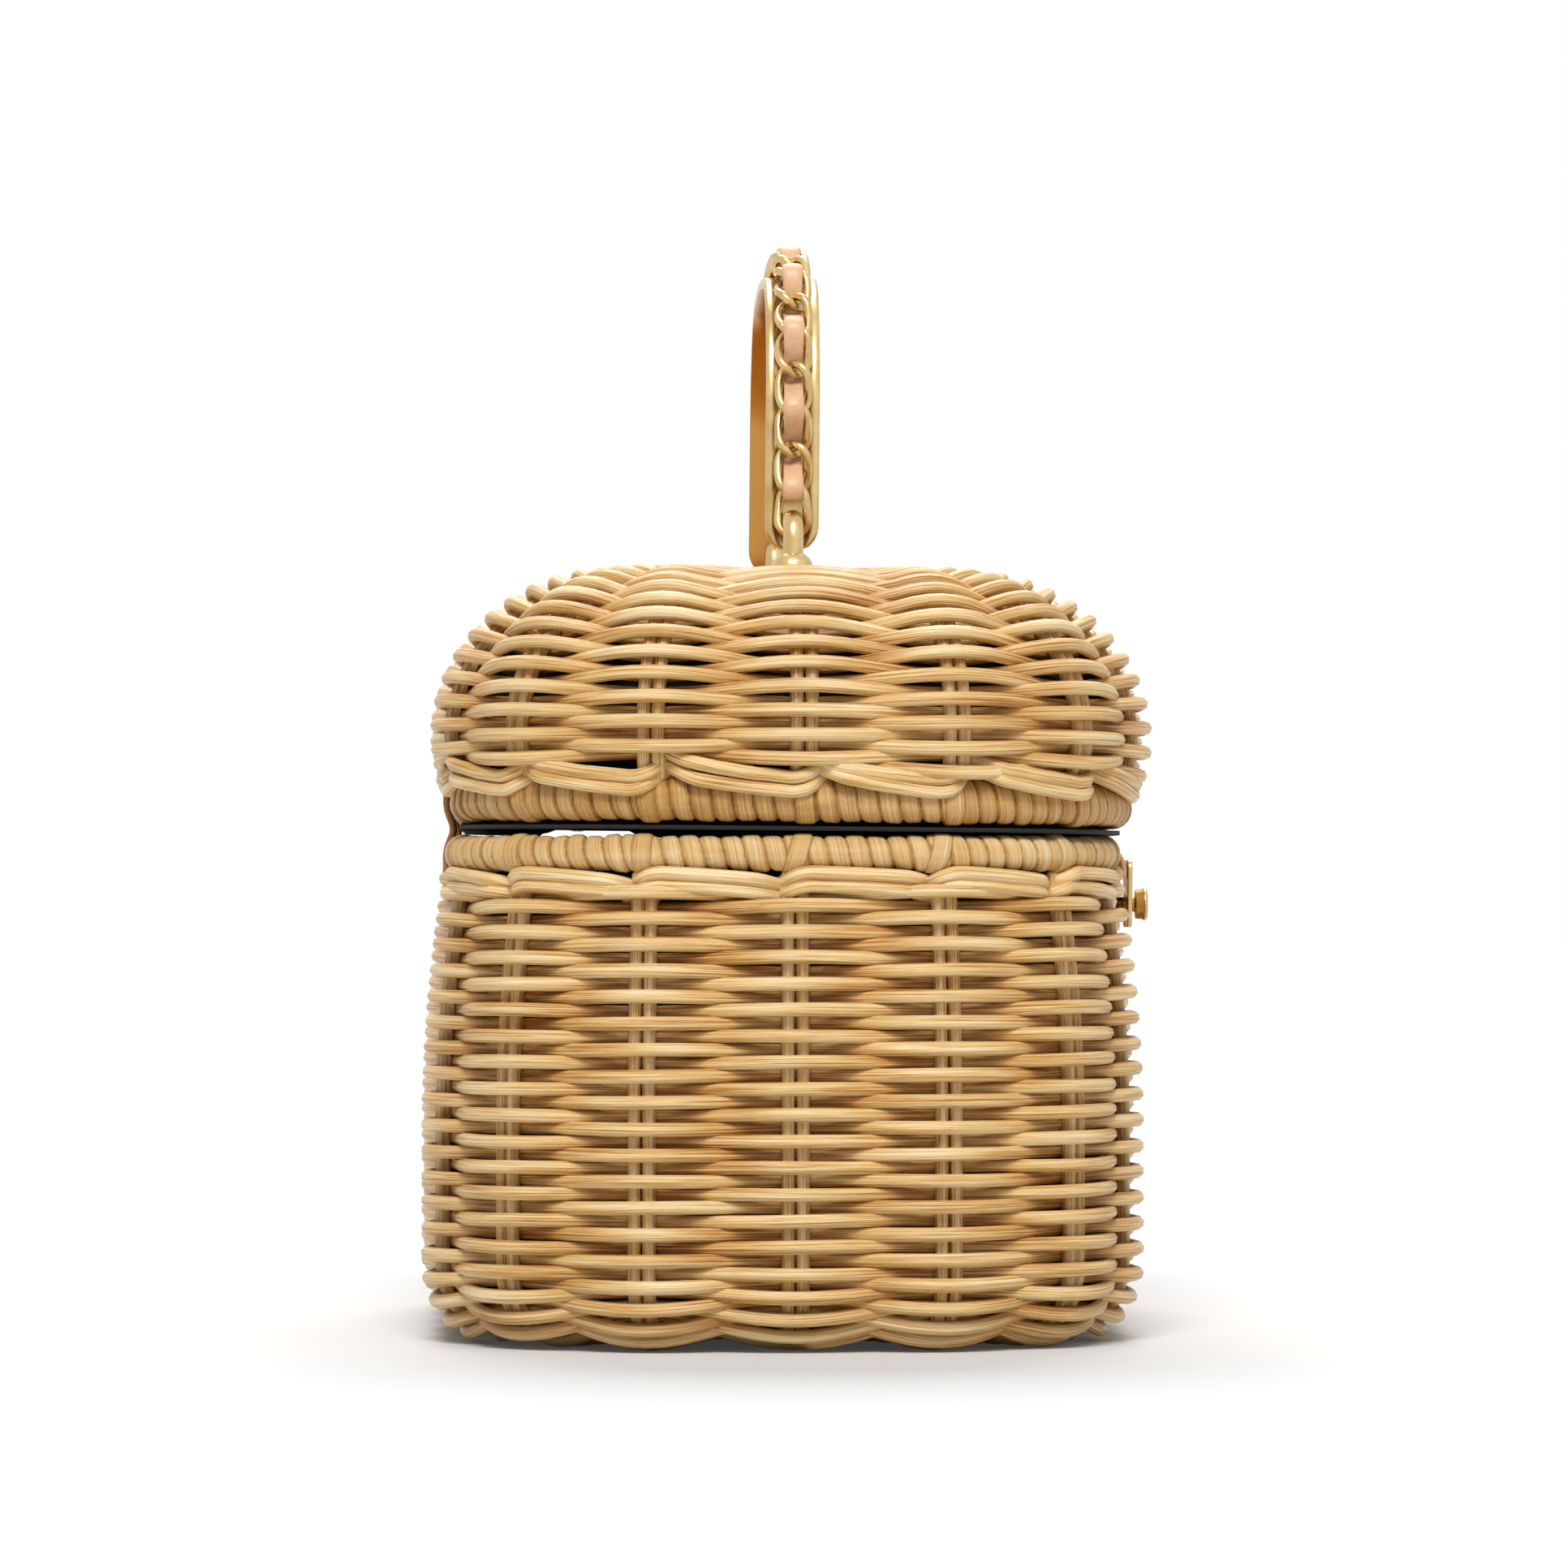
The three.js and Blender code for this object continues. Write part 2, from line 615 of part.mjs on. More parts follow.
function lowerRivet({ x, number }) {
  const shank = GAP + STRAP_THICKNESS + LINING + GAP;
  const mesh = rivet(`hinge_rivet_lower_${number}`, shank);
  const face = lowerTailY(lowerRivetZ()) - STRAP_THICKNESS / 2 - 2 * GAP;
  mesh.position.set(x, face, lowerRivetZ());
  return mesh;
}

function claspBase() {
  const outer = FRONT_FACE_Y - GAP;
  const profile = [
    [SHANK_RADIUS + GAP, 0], [CLASP_BASE_RADIUS, 0], [CLASP_BASE_RADIUS, CLASP_BASE / 2],
    [CLASP_FACE_RADIUS, CLASP_BASE], [SHANK_RADIUS + GAP, CLASP_BASE], [SHANK_RADIUS + GAP, 0],
  ].map(([r, y]) => new THREE.Vector2(r, y));
  const mesh = piece('clasp_base', new THREE.LatheGeometry(profile, TURNED_SIDES).rotateZ(Math.PI), BRASS);
  mesh.position.set(0, outer - CLASP_SEAT, KNOB_HEIGHT);
  return mesh;
}

// The front wall leans back above the belly, so the round base stands off by that lean
const CLASP_SEAT = bellyInset(KNOB_HEIGHT) - bellyInset(KNOB_HEIGHT - CLASP_BASE_RADIUS);
const CLASP_BASE_FACE = FRONT_FACE_Y - GAP - CLASP_SEAT - CLASP_BASE;
const BACKPLATE_Y = FRONT_FACE_Y + (SLOT_OUTER + SLOT_INNER) / 2;

function claspBackplate() {
  const blank = box(BACKPLATE_WIDTH, BACKPLATE, BACKPLATE_HEIGHT, 0, 0, 0);
  const hole = rod(SHANK_RADIUS + GAP, 2 * BACKPLATE);
  const lean = Math.atan(2 * NECK_INSET * (KNOB_HEIGHT - BELLY_HEIGHT) / (BODY_HEIGHT - BELLY_HEIGHT) ** 2);
  const mesh = piece('clasp_backplate', cut(blank, hole), BRASS);
  mesh.position.set(0, BACKPLATE_Y, KNOB_HEIGHT);
  mesh.rotation.x = -lean;
  return mesh;
}

const FORK_BACK_Y = CLASP_BASE_FACE - GAP - TAB_THICKNESS - GAP;
const KNOB_BACK_Y = FORK_BACK_Y - FORK_THICKNESS - KNOB_PLAY;

function claspKnob() {
  const head = new THREE.LatheGeometry([
    [0, 0], [KNOB_WAIST_RADIUS, 0], [KNOB_WAIST_RADIUS, KNOB_WAIST], [KNOB_RADIUS, KNOB_LIP],
    [KNOB_FACE_RADIUS, KNOB_HEAD], [0, KNOB_HEAD],
  ].map(([r, y]) => new THREE.Vector2(r, y)), TURNED_SIDES).rotateZ(Math.PI).translate(0, KNOB_BACK_Y, 0);
  const neckEnd = CLASP_BASE_FACE - GAP;
  const neckLength = neckEnd - KNOB_BACK_Y + GAP;
  const neck = box(NECK_NARROW, neckLength, NECK_WIDE, 0, neckEnd - neckLength / 2, 0);
  const shankEnd = BACKPLATE_Y + BACKPLATE / 2 + GAP;
  const shankLength = shankEnd - neckEnd + GAP;
  const shank = rod(SHANK_RADIUS, shankLength).translate(0, shankEnd - shankLength / 2, 0);
  const mesh = piece('clasp_knob', join(head, neck, shank), BRASS);
  mesh.position.z = KNOB_HEIGHT;
  return mesh;
}

// Lid pieces are made as if the lid lay level, and the lid group then tilts about the hinge
const FRONT_RIM_Y = -(HALF_DEPTH - LID_RIM_INSET);

function lidWeave() {
  const under = LID_EDGE - GAP;
  const apex = LID_TOP + CROWN_RISE;
  const skin = lidProfile(0, LID_EDGE, 90, SKIN_STEPS);
  const block = wovenSolid(skin, LID_FIRST_ROW, 0, [LID_EDGE, apex]);
  const slotOut = lidProfile(SLOT_OUTER, LID_EDGE, LID_SLOT_TURN, LID_SLOT_STEPS);
  const slotIn = lidProfile(SLOT_INNER, LID_EDGE, LID_SLOT_TURN, LID_SLOT_STEPS);
  const slot = sweptPlan([
    [SLOT_OUTER + LID_SKIRT_INSET, under], ...slotOut,
    ...slotIn.reverse(), [SLOT_INNER + LID_SKIRT_INSET, under],
  ]);
  const inside = [[WALL + LID_SKIRT_INSET, under], ...lidProfile(WALL, LID_EDGE)];
  const hollow = sweptPlan(inside, [under, apex - WALL]);
  const notches = strapSides.map(({ x }) =>
    box(STRAP_WIDTH + 2 * GAP, 2 * WALL, 2 * NOTCH_DEPTH, x, HALF_DEPTH - WALL, LID_EDGE));
  const legHoles = stapleLegs().map((x) =>
    uprightRod(STAPLE_RADIUS + GAP, 3 * WALL).translate(x, 0, crownHeight(x)));
  return piece('lid_weave', cut(block, hollow, slot, ...notches, ...legHoles), RATTAN);
}

function lidStakes() {
  const low = LID_EDGE + NOTCH_DEPTH + 2 * GAP;
  const profile = (offset) => lidProfile(offset, low, LID_STAKE_TURN, LID_SLOT_STEPS);
  const ring = (outer, inner) => {
    const [under, over] = lidSkirt(0, low);
    return sweptPlan([
      [outer + over[0], over[1]], [inner + over[0], over[1]],
      [inner + under[0], under[1] + GAP], [outer + under[0], under[1] + GAP],
    ]);
  };
  return stakes('lid_stakes', profile, ring);
}

function lidLining() {
  const inside = LID_LINING_OFFSET + LINING;
  const low = LID_EDGE + NOTCH_DEPTH;
  const section = [
    ...lidProfile(LID_LINING_OFFSET, low).reverse(), ...lidProfile(inside, low),
  ];
  const top = LID_TOP + CROWN_RISE;
  const holes = strapSides.map(({ x }) =>
    rod(RIVET_SHANK_RADIUS + GAP, 2 * WALL).translate(x, HALF_DEPTH - LID_LINING_OFFSET, upperRivetZ()));
  const bag = sweptPlan(section, [top - LID_LINING_OFFSET, top - inside]);
  return piece('lid_lining', cut(bag, ...holes), LINING_CLOTH);
}

const upperTailY = () =>
  HALF_DEPTH - LID_LINING_OFFSET - LID_SKIRT_INSET - LINING - 2 * GAP - STRAP_THICKNESS / 2;

function upperStrap({ x, number }) {
  const runZ = LID_EDGE + NOTCH_DEPTH - GAP - STRAP_THICKNESS / 2;
  const tailTop = LID_EDGE + NOTCH_DEPTH + STRAP_TAIL;
  const path = [
    [HINGE_Y + LID_FORWARD, HINGE_Z + HINGE_HALF_GAP], [HINGE_Y + LID_FORWARD, runZ],
    [upperTailY(), runZ], [upperTailY(), tailTop],
  ];
  const hole = rod(RIVET_SHANK_RADIUS + GAP, 3 * STRAP_THICKNESS).translate(0, upperTailY(), upperRivetZ());
  const leather = cut(strip(path, STRAP_THICKNESS, STRAP_WIDTH), hole);
  const strap = piece(`hinge_strap_upper_${number}`, leather, TAN_LEATHER);
  strap.position.x = x;
  return strap;
}

function upperRivet({ x, number }) {
  const mesh = rivet(`hinge_rivet_upper_${number}`, GAP + STRAP_THICKNESS + LINING + GAP);
  mesh.position.set(x, upperTailY() - STRAP_THICKNESS / 2 - GAP, upperRivetZ());
  return mesh;
}

// The tab lies under the lid rim, comes out over the body rim and hangs in front of the knob's base
const TAB_Y = FORK_BACK_Y + GAP + TAB_THICKNESS / 2 + LID_FORWARD;
const TAB_END = KNOB_HEIGHT + CLASP_BASE_RADIUS + GAP;

function claspTab() {
  const underRim = LID_RIM_Z - RIM_RADIUS - GAP - TAB_THICKNESS / 2;
  const path = [
    [FRONT_RIM_Y + RIM_RADIUS, underRim], [FRONT_RIM_Y - RIM_RADIUS / 2, underRim],
    [(FRONT_RIM_Y + TAB_Y) / 2 - RIM_RADIUS / 2, underRim - TAB_THICKNESS / 2],
    [TAB_Y, underRim - RIM_RADIUS], [TAB_Y, TAB_END + tabDrop()],
  ];
  return piece('clasp_tab', strip(path, TAB_THICKNESS, TAB_WIDTH), PALE_LEATHER);
}

// How far the lid's tilt lowers its front, so that the fork meets the knob at the knob's height
const tabDrop = () => (HINGE_Y - TAB_Y) * Math.sin(LID_TILT);

function claspFork() {
  const seat = KNOB_HEIGHT + tabDrop();
  const high = TAB_END + tabDrop() + TAB_LAP;
  const low = seat - FORK_BELOW;
  const y = TAB_Y - TAB_THICKNESS / 2 - GAP - FORK_THICKNESS / 2;
  const blank = box(FORK_WIDTH, FORK_THICKNESS, high - low, 0, y, (high + low) / 2);
  const seatRadius = Math.hypot(NECK_WIDE, NECK_NARROW) / 2 + FORK_CLEARANCE;
  const round = rod(seatRadius, 3 * FORK_THICKNESS, TURNED_SIDES).translate(0, y, seat);
  const mouth = NECK_NARROW + 2 * FORK_CLEARANCE;
  const entrance = box(mouth, 3 * FORK_THICKNESS, 2 * FORK_BELOW, 0, y, seat - FORK_BELOW);
  return piece('clasp_fork', cut(blank, round, entrance), BRASS);
}

// Staples, with a bell on the lid round each leg and a plate under the lid
const staplePlaces = [-1, 1].map((side) => ({ side, number: side < 0 ? 1 : 2 }));
const stapleLegs = () => staplePlaces.flatMap(({ side }) =>
  [side * (LEG_X - STAPLE_INSIDE), side * (LEG_X + STAPLE_OUTSIDE)]);
const plateTop = () => crownHeight(LEG_X + STAPLE_OUTSIDE + PLATE_OVERHANG, WALL) - GAP;

function staple({ side, number }) {
  const inner = LEG_X - STAPLE_INSIDE;
  const outer = LEG_X + STAPLE_OUTSIDE;
  const low = plateTop() - PLATE_THICKNESS - GAP - PEEN_HEIGHT;
  const at = (x, z) => new THREE.Vector3(side * x, 0, z);
  const path = new THREE.CurvePath();
  path.add(new THREE.LineCurve3(at(inner, low), at(inner, PIVOT_Z - STAPLE_BEND)));
  path.add(new THREE.QuadraticBezierCurve3(
    at(inner, PIVOT_Z - STAPLE_BEND), at(inner, PIVOT_Z), at(inner + STAPLE_BEND, PIVOT_Z)));
  path.add(new THREE.LineCurve3(at(inner + STAPLE_BEND, PIVOT_Z), at(outer - STAPLE_BEND, PIVOT_Z)));
  path.add(new THREE.QuadraticBezierCurve3(
    at(outer - STAPLE_BEND, PIVOT_Z), at(outer, PIVOT_Z), at(outer, PIVOT_Z - STAPLE_BEND)));
  path.add(new THREE.LineCurve3(at(outer, PIVOT_Z - STAPLE_BEND), at(outer, low)));
  const section = new THREE.Shape().absarc(0, 0, STAPLE_RADIUS, 0, 2 * Math.PI);
  const bar = new THREE.ExtrudeGeometry(section, {
    steps: STAPLE_STEPS, extrudePath: path, curveSegments: STAPLE_QUARTER_SIDES,
  });
  const heads = [inner, outer].map((x) =>
    uprightRod(PEEN_RADIUS, PEEN_HEIGHT, 12).translate(side * x, 0, low + PEEN_HEIGHT / 2));
  return piece(`handle_staple_${number}`, join(bar, ...heads), BRASS);
}

function stapleBell(x, number) {
  const bore = STAPLE_RADIUS + GAP;
  const profile = [
    [bore, 0], [BELL_RADIUS, 0], [BELL_RADIUS, BELL_FOOT], [BELL_WAIST_RADIUS, BELL_WAIST_HEIGHT],
    [bore + BELL_WALL, BELL_LIP_HEIGHT], [bore + BELL_WALL, BELL_HEIGHT], [bore, BELL_HEIGHT], [bore, 0],
  ].map(([r, y]) => new THREE.Vector2(r, y));
  const bell = new THREE.LatheGeometry(profile, BELL_SIDES).rotateX(Math.PI / 2);
  const mesh = piece(`staple_bell_${number}`, bell, BRASS);
  mesh.position.set(x, 0, crownHeight(Math.abs(x) - BELL_RADIUS) + GAP);
  return mesh;
}

function staplePlate({ side, number }) {
  const length = STAPLE_INSIDE + STAPLE_OUTSIDE + 2 * PLATE_OVERHANG;
  const middle = side * (LEG_X + (STAPLE_OUTSIDE - STAPLE_INSIDE) / 2);
  const blank = box(length, PLATE_WIDTH, PLATE_THICKNESS, middle, 0, plateTop() - PLATE_THICKNESS / 2);
  const holes = [LEG_X - STAPLE_INSIDE, LEG_X + STAPLE_OUTSIDE].map((x) =>
    uprightRod(STAPLE_RADIUS + GAP, 3 * PLATE_THICKNESS).translate(side * x, 0, plateTop()));
  return piece(`staple_plate_${number}`, cut(blank, ...holes), BRASS);
}

// The handle's arch, walked from the crown by arc length on a line at a height above the band's face
function archAt(walked, height) {
  const side = Math.sign(walked) || 1;
  const length = Math.abs(walked);
  const crown = (CROWN_RADIUS + height) * CROWN_SLOPE;
  const bend = (BEND_RADIUS + height) * (Math.PI / 2 - CROWN_SLOPE);
  if (length <= crown) {
    const angle = length / (CROWN_RADIUS + height);
    const radius = CROWN_RADIUS + height;
    const x = radius * Math.sin(angle);
    return { x: side * x, z: CROWN_CENTRE_Z + radius * Math.cos(angle), angle: side * angle };
  }
  if (length <= crown + bend) {
    const radius = BEND_RADIUS + height;
    const angle = CROWN_SLOPE + (length - crown) / radius;
    const x = LEG_X - BEND_RADIUS + radius * Math.sin(angle);
    return { x: side * x, z: BEND_Z + radius * Math.cos(angle), angle: side * angle };
  }
  return { x: side * (LEG_X + height), z: BEND_Z - (length - crown - bend), angle: side * Math.PI / 2 };
}

const archHalf = (height) => (CROWN_RADIUS + height) * CROWN_SLOPE
  + (BEND_RADIUS + height) * (Math.PI / 2 - CROWN_SLOPE) + HANDLE_LEG;

// Sections of [across, above] carried along stations of the arch
function archLoft(stations, sectionAt) {
  const positions = [];
  const index = [];
  const count = sectionAt(stations[0]).length;
  stations.forEach((walked) => {
    const { x, z, angle } = archAt(walked, 0);
    sectionAt(walked).forEach(([across, above]) => {
      positions.push(x + above * Math.sin(angle), across, z + above * Math.cos(angle));
    });
  });
  for (let row = 0; row < stations.length - 1; row += 1) {
    for (let i = 0; i < count; i += 1) {
      const [a, b] = [row * count + i, row * count + (i + 1) % count];
      index.push(a, b, b + count, a, b + count, a + count);
    }
  }
  const outline = sectionAt(stations[0]).map(([across, above]) => new THREE.Vector2(across, above));
  const last = (stations.length - 1) * count;
  THREE.ShapeUtils.triangulateShape(outline, []).forEach(([a, b, c]) => {
    index.push(a, c, b, last + a, last + b, last + c);
  });
  const geometry = new THREE.BufferGeometry();
  geometry.setAttribute('position', new THREE.Float32BufferAttribute(positions, 3));
  geometry.setIndex(index);
  return geometry;
}

const BAND_STATIONS = 28;

function handleBand() {
  const half = BAND_WIDTH / 2;
  const rail = half - BAND_RAIL_WIDTH;
  const section = [
    [-half, -BAND_THICKNESS], [half, -BAND_THICKNESS], [half, BAND_RAIL_HEIGHT], [rail, BAND_RAIL_HEIGHT],
    [rail, 0], [-rail, 0], [-rail, BAND_RAIL_HEIGHT], [-half, BAND_RAIL_HEIGHT],
  ];
  const stations = [];
  for (let i = 0; i <= BAND_STATIONS; i += 1) {
    stations.push(archHalf(0) * (2 * i / BAND_STATIONS - 1));
  }
  const feet = staplePlaces.map(({ side }) =>
    crossRod(half, BAND_THICKNESS, 24).translate(side * (LEG_X - BAND_THICKNESS / 2), 0, PIVOT_Z));
  const holes = staplePlaces.map(({ side }) =>
    crossRod(STAPLE_RADIUS + GAP, 6 * BAND_THICKNESS).translate(side * LEG_X, 0, PIVOT_Z));
  const band = join(archLoft(stations, () => section), ...feet);
  return piece('handle_band', cut(band, ...holes), BRASS);
}

// One link: a round-ended loop of wire, rolled from one end to the other so that the chain lies flat
class LinkLoop extends THREE.Curve {
  constructor(length, startRoll, endRoll) {
    super();
    Object.assign(this, { length, startRoll, endRoll });
  }

  getPoint(t, target = new THREE.Vector3()) {
    const radius = (LINK_WIDTH - LINK_WIRE) / 2;
    const straight = this.length - 2 * radius;
    const arc = Math.PI * radius;
    const half = straight + arc;
    const walked = (t % 1) * 2 * half;
    const flip = walked < half ? 1 : -1;
    const local = walked % half;
    let along = local - straight / 2;
    let across = radius;
    if (local > straight) {
      const angle = (local - straight) / radius;
      along = straight / 2 + radius * Math.sin(angle);
      across = radius * Math.cos(angle);
    }
    along *= flip;
    across *= flip;
    const roll = THREE.MathUtils.lerp(this.startRoll, this.endRoll, along / this.length + 0.5);
    return target.set(along, across * Math.cos(roll), across * Math.sin(roll));
  }
}

// The end links hang flat on the staple bars, so the pitch follows from the length of the arch
const LINK_REACH = archHalf(CHAIN_HEIGHT) + STAPLE_RADIUS + GAP + LINK_WIRE / 2;
const LINK_PITCH = (LINK_REACH - LINK_HOOK / 2) / (LINK_COUNT / 2);
const LINK_LENGTH = LINK_PITCH + LINK_HOOK;

function chainLink(number) {
  const startRoll = number === 1 ? 0 : LINK_ROLL;
  const endRoll = number === LINK_COUNT ? 0 : -LINK_ROLL;
  const loop = new LinkLoop(LINK_LENGTH, startRoll, endRoll);
  const wire = new THREE.TubeGeometry(loop, LINK_STEPS, LINK_WIRE / 2, LINK_SIDES, true);
  const mesh = piece(`chain_link_${String(number).padStart(2, '0')}`, wire, BRASS);
  const { x, z, angle } = archAt((number - (LINK_COUNT + 1) / 2) * LINK_PITCH, CHAIN_HEIGHT);
  mesh.position.set(x, 0, z);
  mesh.rotation.y = angle;
  return mesh;
}

// The strip passes over one joint of the chain and under the next
function leatherLace() {
  const half = LACE_WIDTH / 2;
  const reach = archHalf(CHAIN_HEIGHT) - LACE_END;
  const step = LINK_PITCH / LACE_STEPS;
  const count = Math.floor(reach / step);
  const scale = archHalf(0) / archHalf(CHAIN_HEIGHT);
  const positions = [];
  const index = [];
  for (let i = -count; i <= count; i += 1) {
    const walked = i * step;
    const slope = -LACE_WAVE * (Math.PI / LINK_PITCH) * Math.sin(Math.PI * walked / LINK_PITCH);
    const centre = CHAIN_HEIGHT + LACE_WAVE * Math.cos(Math.PI * walked / LINK_PITCH);
    const lean = Math.atan(slope);
    const { x, z, angle } = archAt(walked, CHAIN_HEIGHT);
    const rise = centre - CHAIN_HEIGHT;
    [[-half, -1], [half, -1], [half, 1], [-half, 1]].forEach(([across, side]) => {
      const above = rise + side * (LACE_THICKNESS / 2) * Math.cos(lean);
      const along = -side * (LACE_THICKNESS / 2) * Math.sin(lean);
      positions.push(
        x + above * Math.sin(angle) + along * Math.cos(angle),
        across,
        z + above * Math.cos(angle) - along * Math.sin(angle),
      );
    });
  }
  const rows = 2 * count + 1;
  for (let row = 0; row < rows - 1; row += 1) {
    for (let side = 0; side < 4; side += 1) {
      const [a, b] = [row * 4 + side, row * 4 + (side + 1) % 4];
      index.push(a, b, b + 4, a, b + 4, a + 4);
    }
  }
  const last = (rows - 1) * 4;
  index.push(0, 2, 1, 0, 3, 2, last, last + 1, last + 2, last, last + 2, last + 3);
  const geometry = new THREE.BufferGeometry();
  geometry.setAttribute('position', new THREE.Float32BufferAttribute(positions, 3));
  geometry.setIndex(index);
  return piece('leather_lace', geometry, PALE_LEATHER);
}

// Assembly
const body = new THREE.Group();
body.add(
  sideWeave(), baseWeave(), bodyStakes(), wrappedRim('body_rim', BODY_RIM_INSET, BODY_RIM_Z), bodyLining(),
  ...strapSides.map(lowerStrap), ...strapSides.map(lowerRivet), claspBase(), claspBackplate(), claspKnob(),
);

const handle = new THREE.Group();
handle.add(handleBand(), leatherLace());
for (let number = 1; number <= LINK_COUNT; number += 1) {
  handle.add(chainLink(number));
}

const lid = new THREE.Group();
lid.add(
  lidWeave(), lidStakes(), wrappedRim('lid_rim', LID_RIM_INSET, LID_RIM_Z), lidLining(),
  ...strapSides.map(upperStrap), ...strapSides.map(upperRivet), claspTab(), claspFork(),
  ...staplePlaces.map(staple), ...staplePlaces.map(staplePlate),
  ...stapleLegs().map((x, i) => stapleBell(x, i + 1)), handle,
);
lid.position.set(0, -HINGE_Y - LID_FORWARD, -HINGE_Z);

const lidOnHinge = new THREE.Group();
lidOnHinge.add(lid);
lidOnHinge.position.set(0, HINGE_Y, HINGE_Z);
lidOnHinge.rotation.x = LID_TILT;

const vanityCase = new THREE.Group();
vanityCase.add(body, lidOnHinge);

export default vanityCase;
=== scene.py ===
# Rattan vanity case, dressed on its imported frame: every weaver, stake, turn of cane, chain link and strap.
# Metres, +Z up, -Y is the front with the knob, +Y the back with the hinge straps.
import json
import math
import random

import bmesh
import bpy
from mathutils import Matrix, Vector, noise


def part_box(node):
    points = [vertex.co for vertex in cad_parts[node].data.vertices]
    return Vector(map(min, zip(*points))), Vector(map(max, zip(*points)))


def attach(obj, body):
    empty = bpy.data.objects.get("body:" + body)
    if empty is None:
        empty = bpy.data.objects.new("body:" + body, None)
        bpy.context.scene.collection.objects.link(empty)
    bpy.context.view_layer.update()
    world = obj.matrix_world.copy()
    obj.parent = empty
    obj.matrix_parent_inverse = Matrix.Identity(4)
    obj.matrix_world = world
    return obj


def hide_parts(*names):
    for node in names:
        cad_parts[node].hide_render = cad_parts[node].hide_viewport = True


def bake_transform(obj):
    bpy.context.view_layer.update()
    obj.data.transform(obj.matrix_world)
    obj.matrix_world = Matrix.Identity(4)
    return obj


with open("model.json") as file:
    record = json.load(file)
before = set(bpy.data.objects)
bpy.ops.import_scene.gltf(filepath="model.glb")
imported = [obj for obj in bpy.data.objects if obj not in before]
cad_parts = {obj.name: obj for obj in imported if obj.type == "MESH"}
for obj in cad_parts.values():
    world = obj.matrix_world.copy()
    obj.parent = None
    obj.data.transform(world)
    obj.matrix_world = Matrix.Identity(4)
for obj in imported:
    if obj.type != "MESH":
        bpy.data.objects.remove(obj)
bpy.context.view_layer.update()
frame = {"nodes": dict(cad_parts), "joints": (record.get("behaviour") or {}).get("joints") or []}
MM = 0.001
CHANCE = random.Random(11)

# Plan and wall, from the frame and from the stock that the case is woven of
HALF_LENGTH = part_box("side_weave")[1].x
HALF_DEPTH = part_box("side_weave")[1].y
BODY_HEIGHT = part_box("side_weave")[1].z
CORNER_RADIUS = 51 * MM
CROWN_CORNER = 0.45
STAKE_DEPTH = 4.1 * MM
STAKE_PAIRS = 21
CLASP_PAIR = 5
CLASP_TO_STAKE = 6.2 * MM
STAKE_RADIUS = 1.3 * MM
STAKE_PITCH = 2.8 * MM
WEAVER_RADIUS = 1.36 * MM
WEAVER_SWING = 2.62 * MM
ROW_PITCH = 2.48 * MM
ROW_WANDER = 0.32 * MM
GIRTH_SPREAD = 0.07
# Changes of a weaver's wander and girth in a metre along it, in a metre up the wall and in a row
WANDER_ALONG = 30
WANDER_UP = 900
GIRTH_ALONG = 11
GIRTH_ROWS = 7
POINTED = 0.001
STEPS_PER_STAKE = 8

# Body section and linings
EDGE_INSET = 12 * MM
EDGE_HEIGHT = 15 * MM
BELLY_HEIGHT = 40 * MM
NECK_INSET = 4.1 * MM
BODY_LINING = 8.9 * MM
LID_LINING = 11.9 * MM
LINING_THICK = 0.8 * MM

# Rims
RIM_RADIUS = 3.4 * MM
BODY_RIM_INSET = 8.4 * MM
LID_RIM_INSET = 7.7 * MM
LID_RIM_ABOVE = 1.8 * MM
BODY_RIM_Z = BODY_HEIGHT + 0.3 * MM + RIM_RADIUS
LID_BACK_GAP = 3 * MM
LID_RIM_Z = BODY_RIM_Z + 2 * RIM_RADIUS + LID_BACK_GAP
WRAP_WIDTH = 3.9 * MM
WRAP_GROOVE = 0.75 * MM
WRAP_STEPS = 14
WRAP_SIDES = 20
GROOVE_POWER = 5
TIE_HALF = 1.9 * MM
TIE_LIFT = 0.45 * MM
TIE_GROOVE = 0.4 * MM

# Lid, made level and then set on its hinge with a slight tilt
LID_EDGE = LID_RIM_Z + RIM_RADIUS + 0.3 * MM
LID_SKIRT = 9.5 * MM
LID_SKIRT_INSET = 2 * MM
LID_SHOULDER = 36 * MM
LID_RISE = 33 * MM
CROWN_RISE = 1.8 * MM
LID_BELLY = LID_EDGE + LID_SKIRT
LID_TOP = LID_BELLY + LID_RISE
LID_FORWARD = 1.5 * MM
LID_TILT = math.radians(0.5)
LID_JOINT = next(j for j in frame["joints"] if j["name"] == "lid_hinge")
HINGE = Vector(LID_JOINT["pos_m"])
LID_PLACE = (
    Matrix.Translation(HINGE)
    @ Matrix.Rotation(LID_TILT, 4, "X")
    @ Matrix.Translation(-HINGE - Vector((0, LID_FORWARD, 0)))
)
LEVEL = Matrix.Identity(4)

# Handle
LEG_X = 56 * MM
BAND_HALF = 5.2 * MM
BAND_THICKNESS = 1.6 * MM
BEND_RADIUS = 26 * MM
CROWN_SLOPE = math.radians(6.8)
HANDLE_LEG = 22.5 * MM
FOOT_REACH = 0.9 * MM
PIVOT_Z = LID_TOP + CROWN_RISE + 7.4 * MM
CROWN_RADIUS = (LEG_X - BEND_RADIUS) / math.sin(CROWN_SLOPE) + BEND_RADIUS
BEND_Z = PIVOT_Z + HANDLE_LEG
CROWN_CENTRE_Z = BEND_Z - (CROWN_RADIUS - BEND_RADIUS) * math.cos(CROWN_SLOPE)
CHAIN_HEIGHT = 3.6 * MM
LINK_COUNT = 26
LINK_WIRE = 0.82 * MM
LINK_HALF = 2.9 * MM
LINK_HOOK = 2 * MM
STAPLE_RADIUS = 1.95 * MM
STAPLE_INSIDE = 6.2 * MM
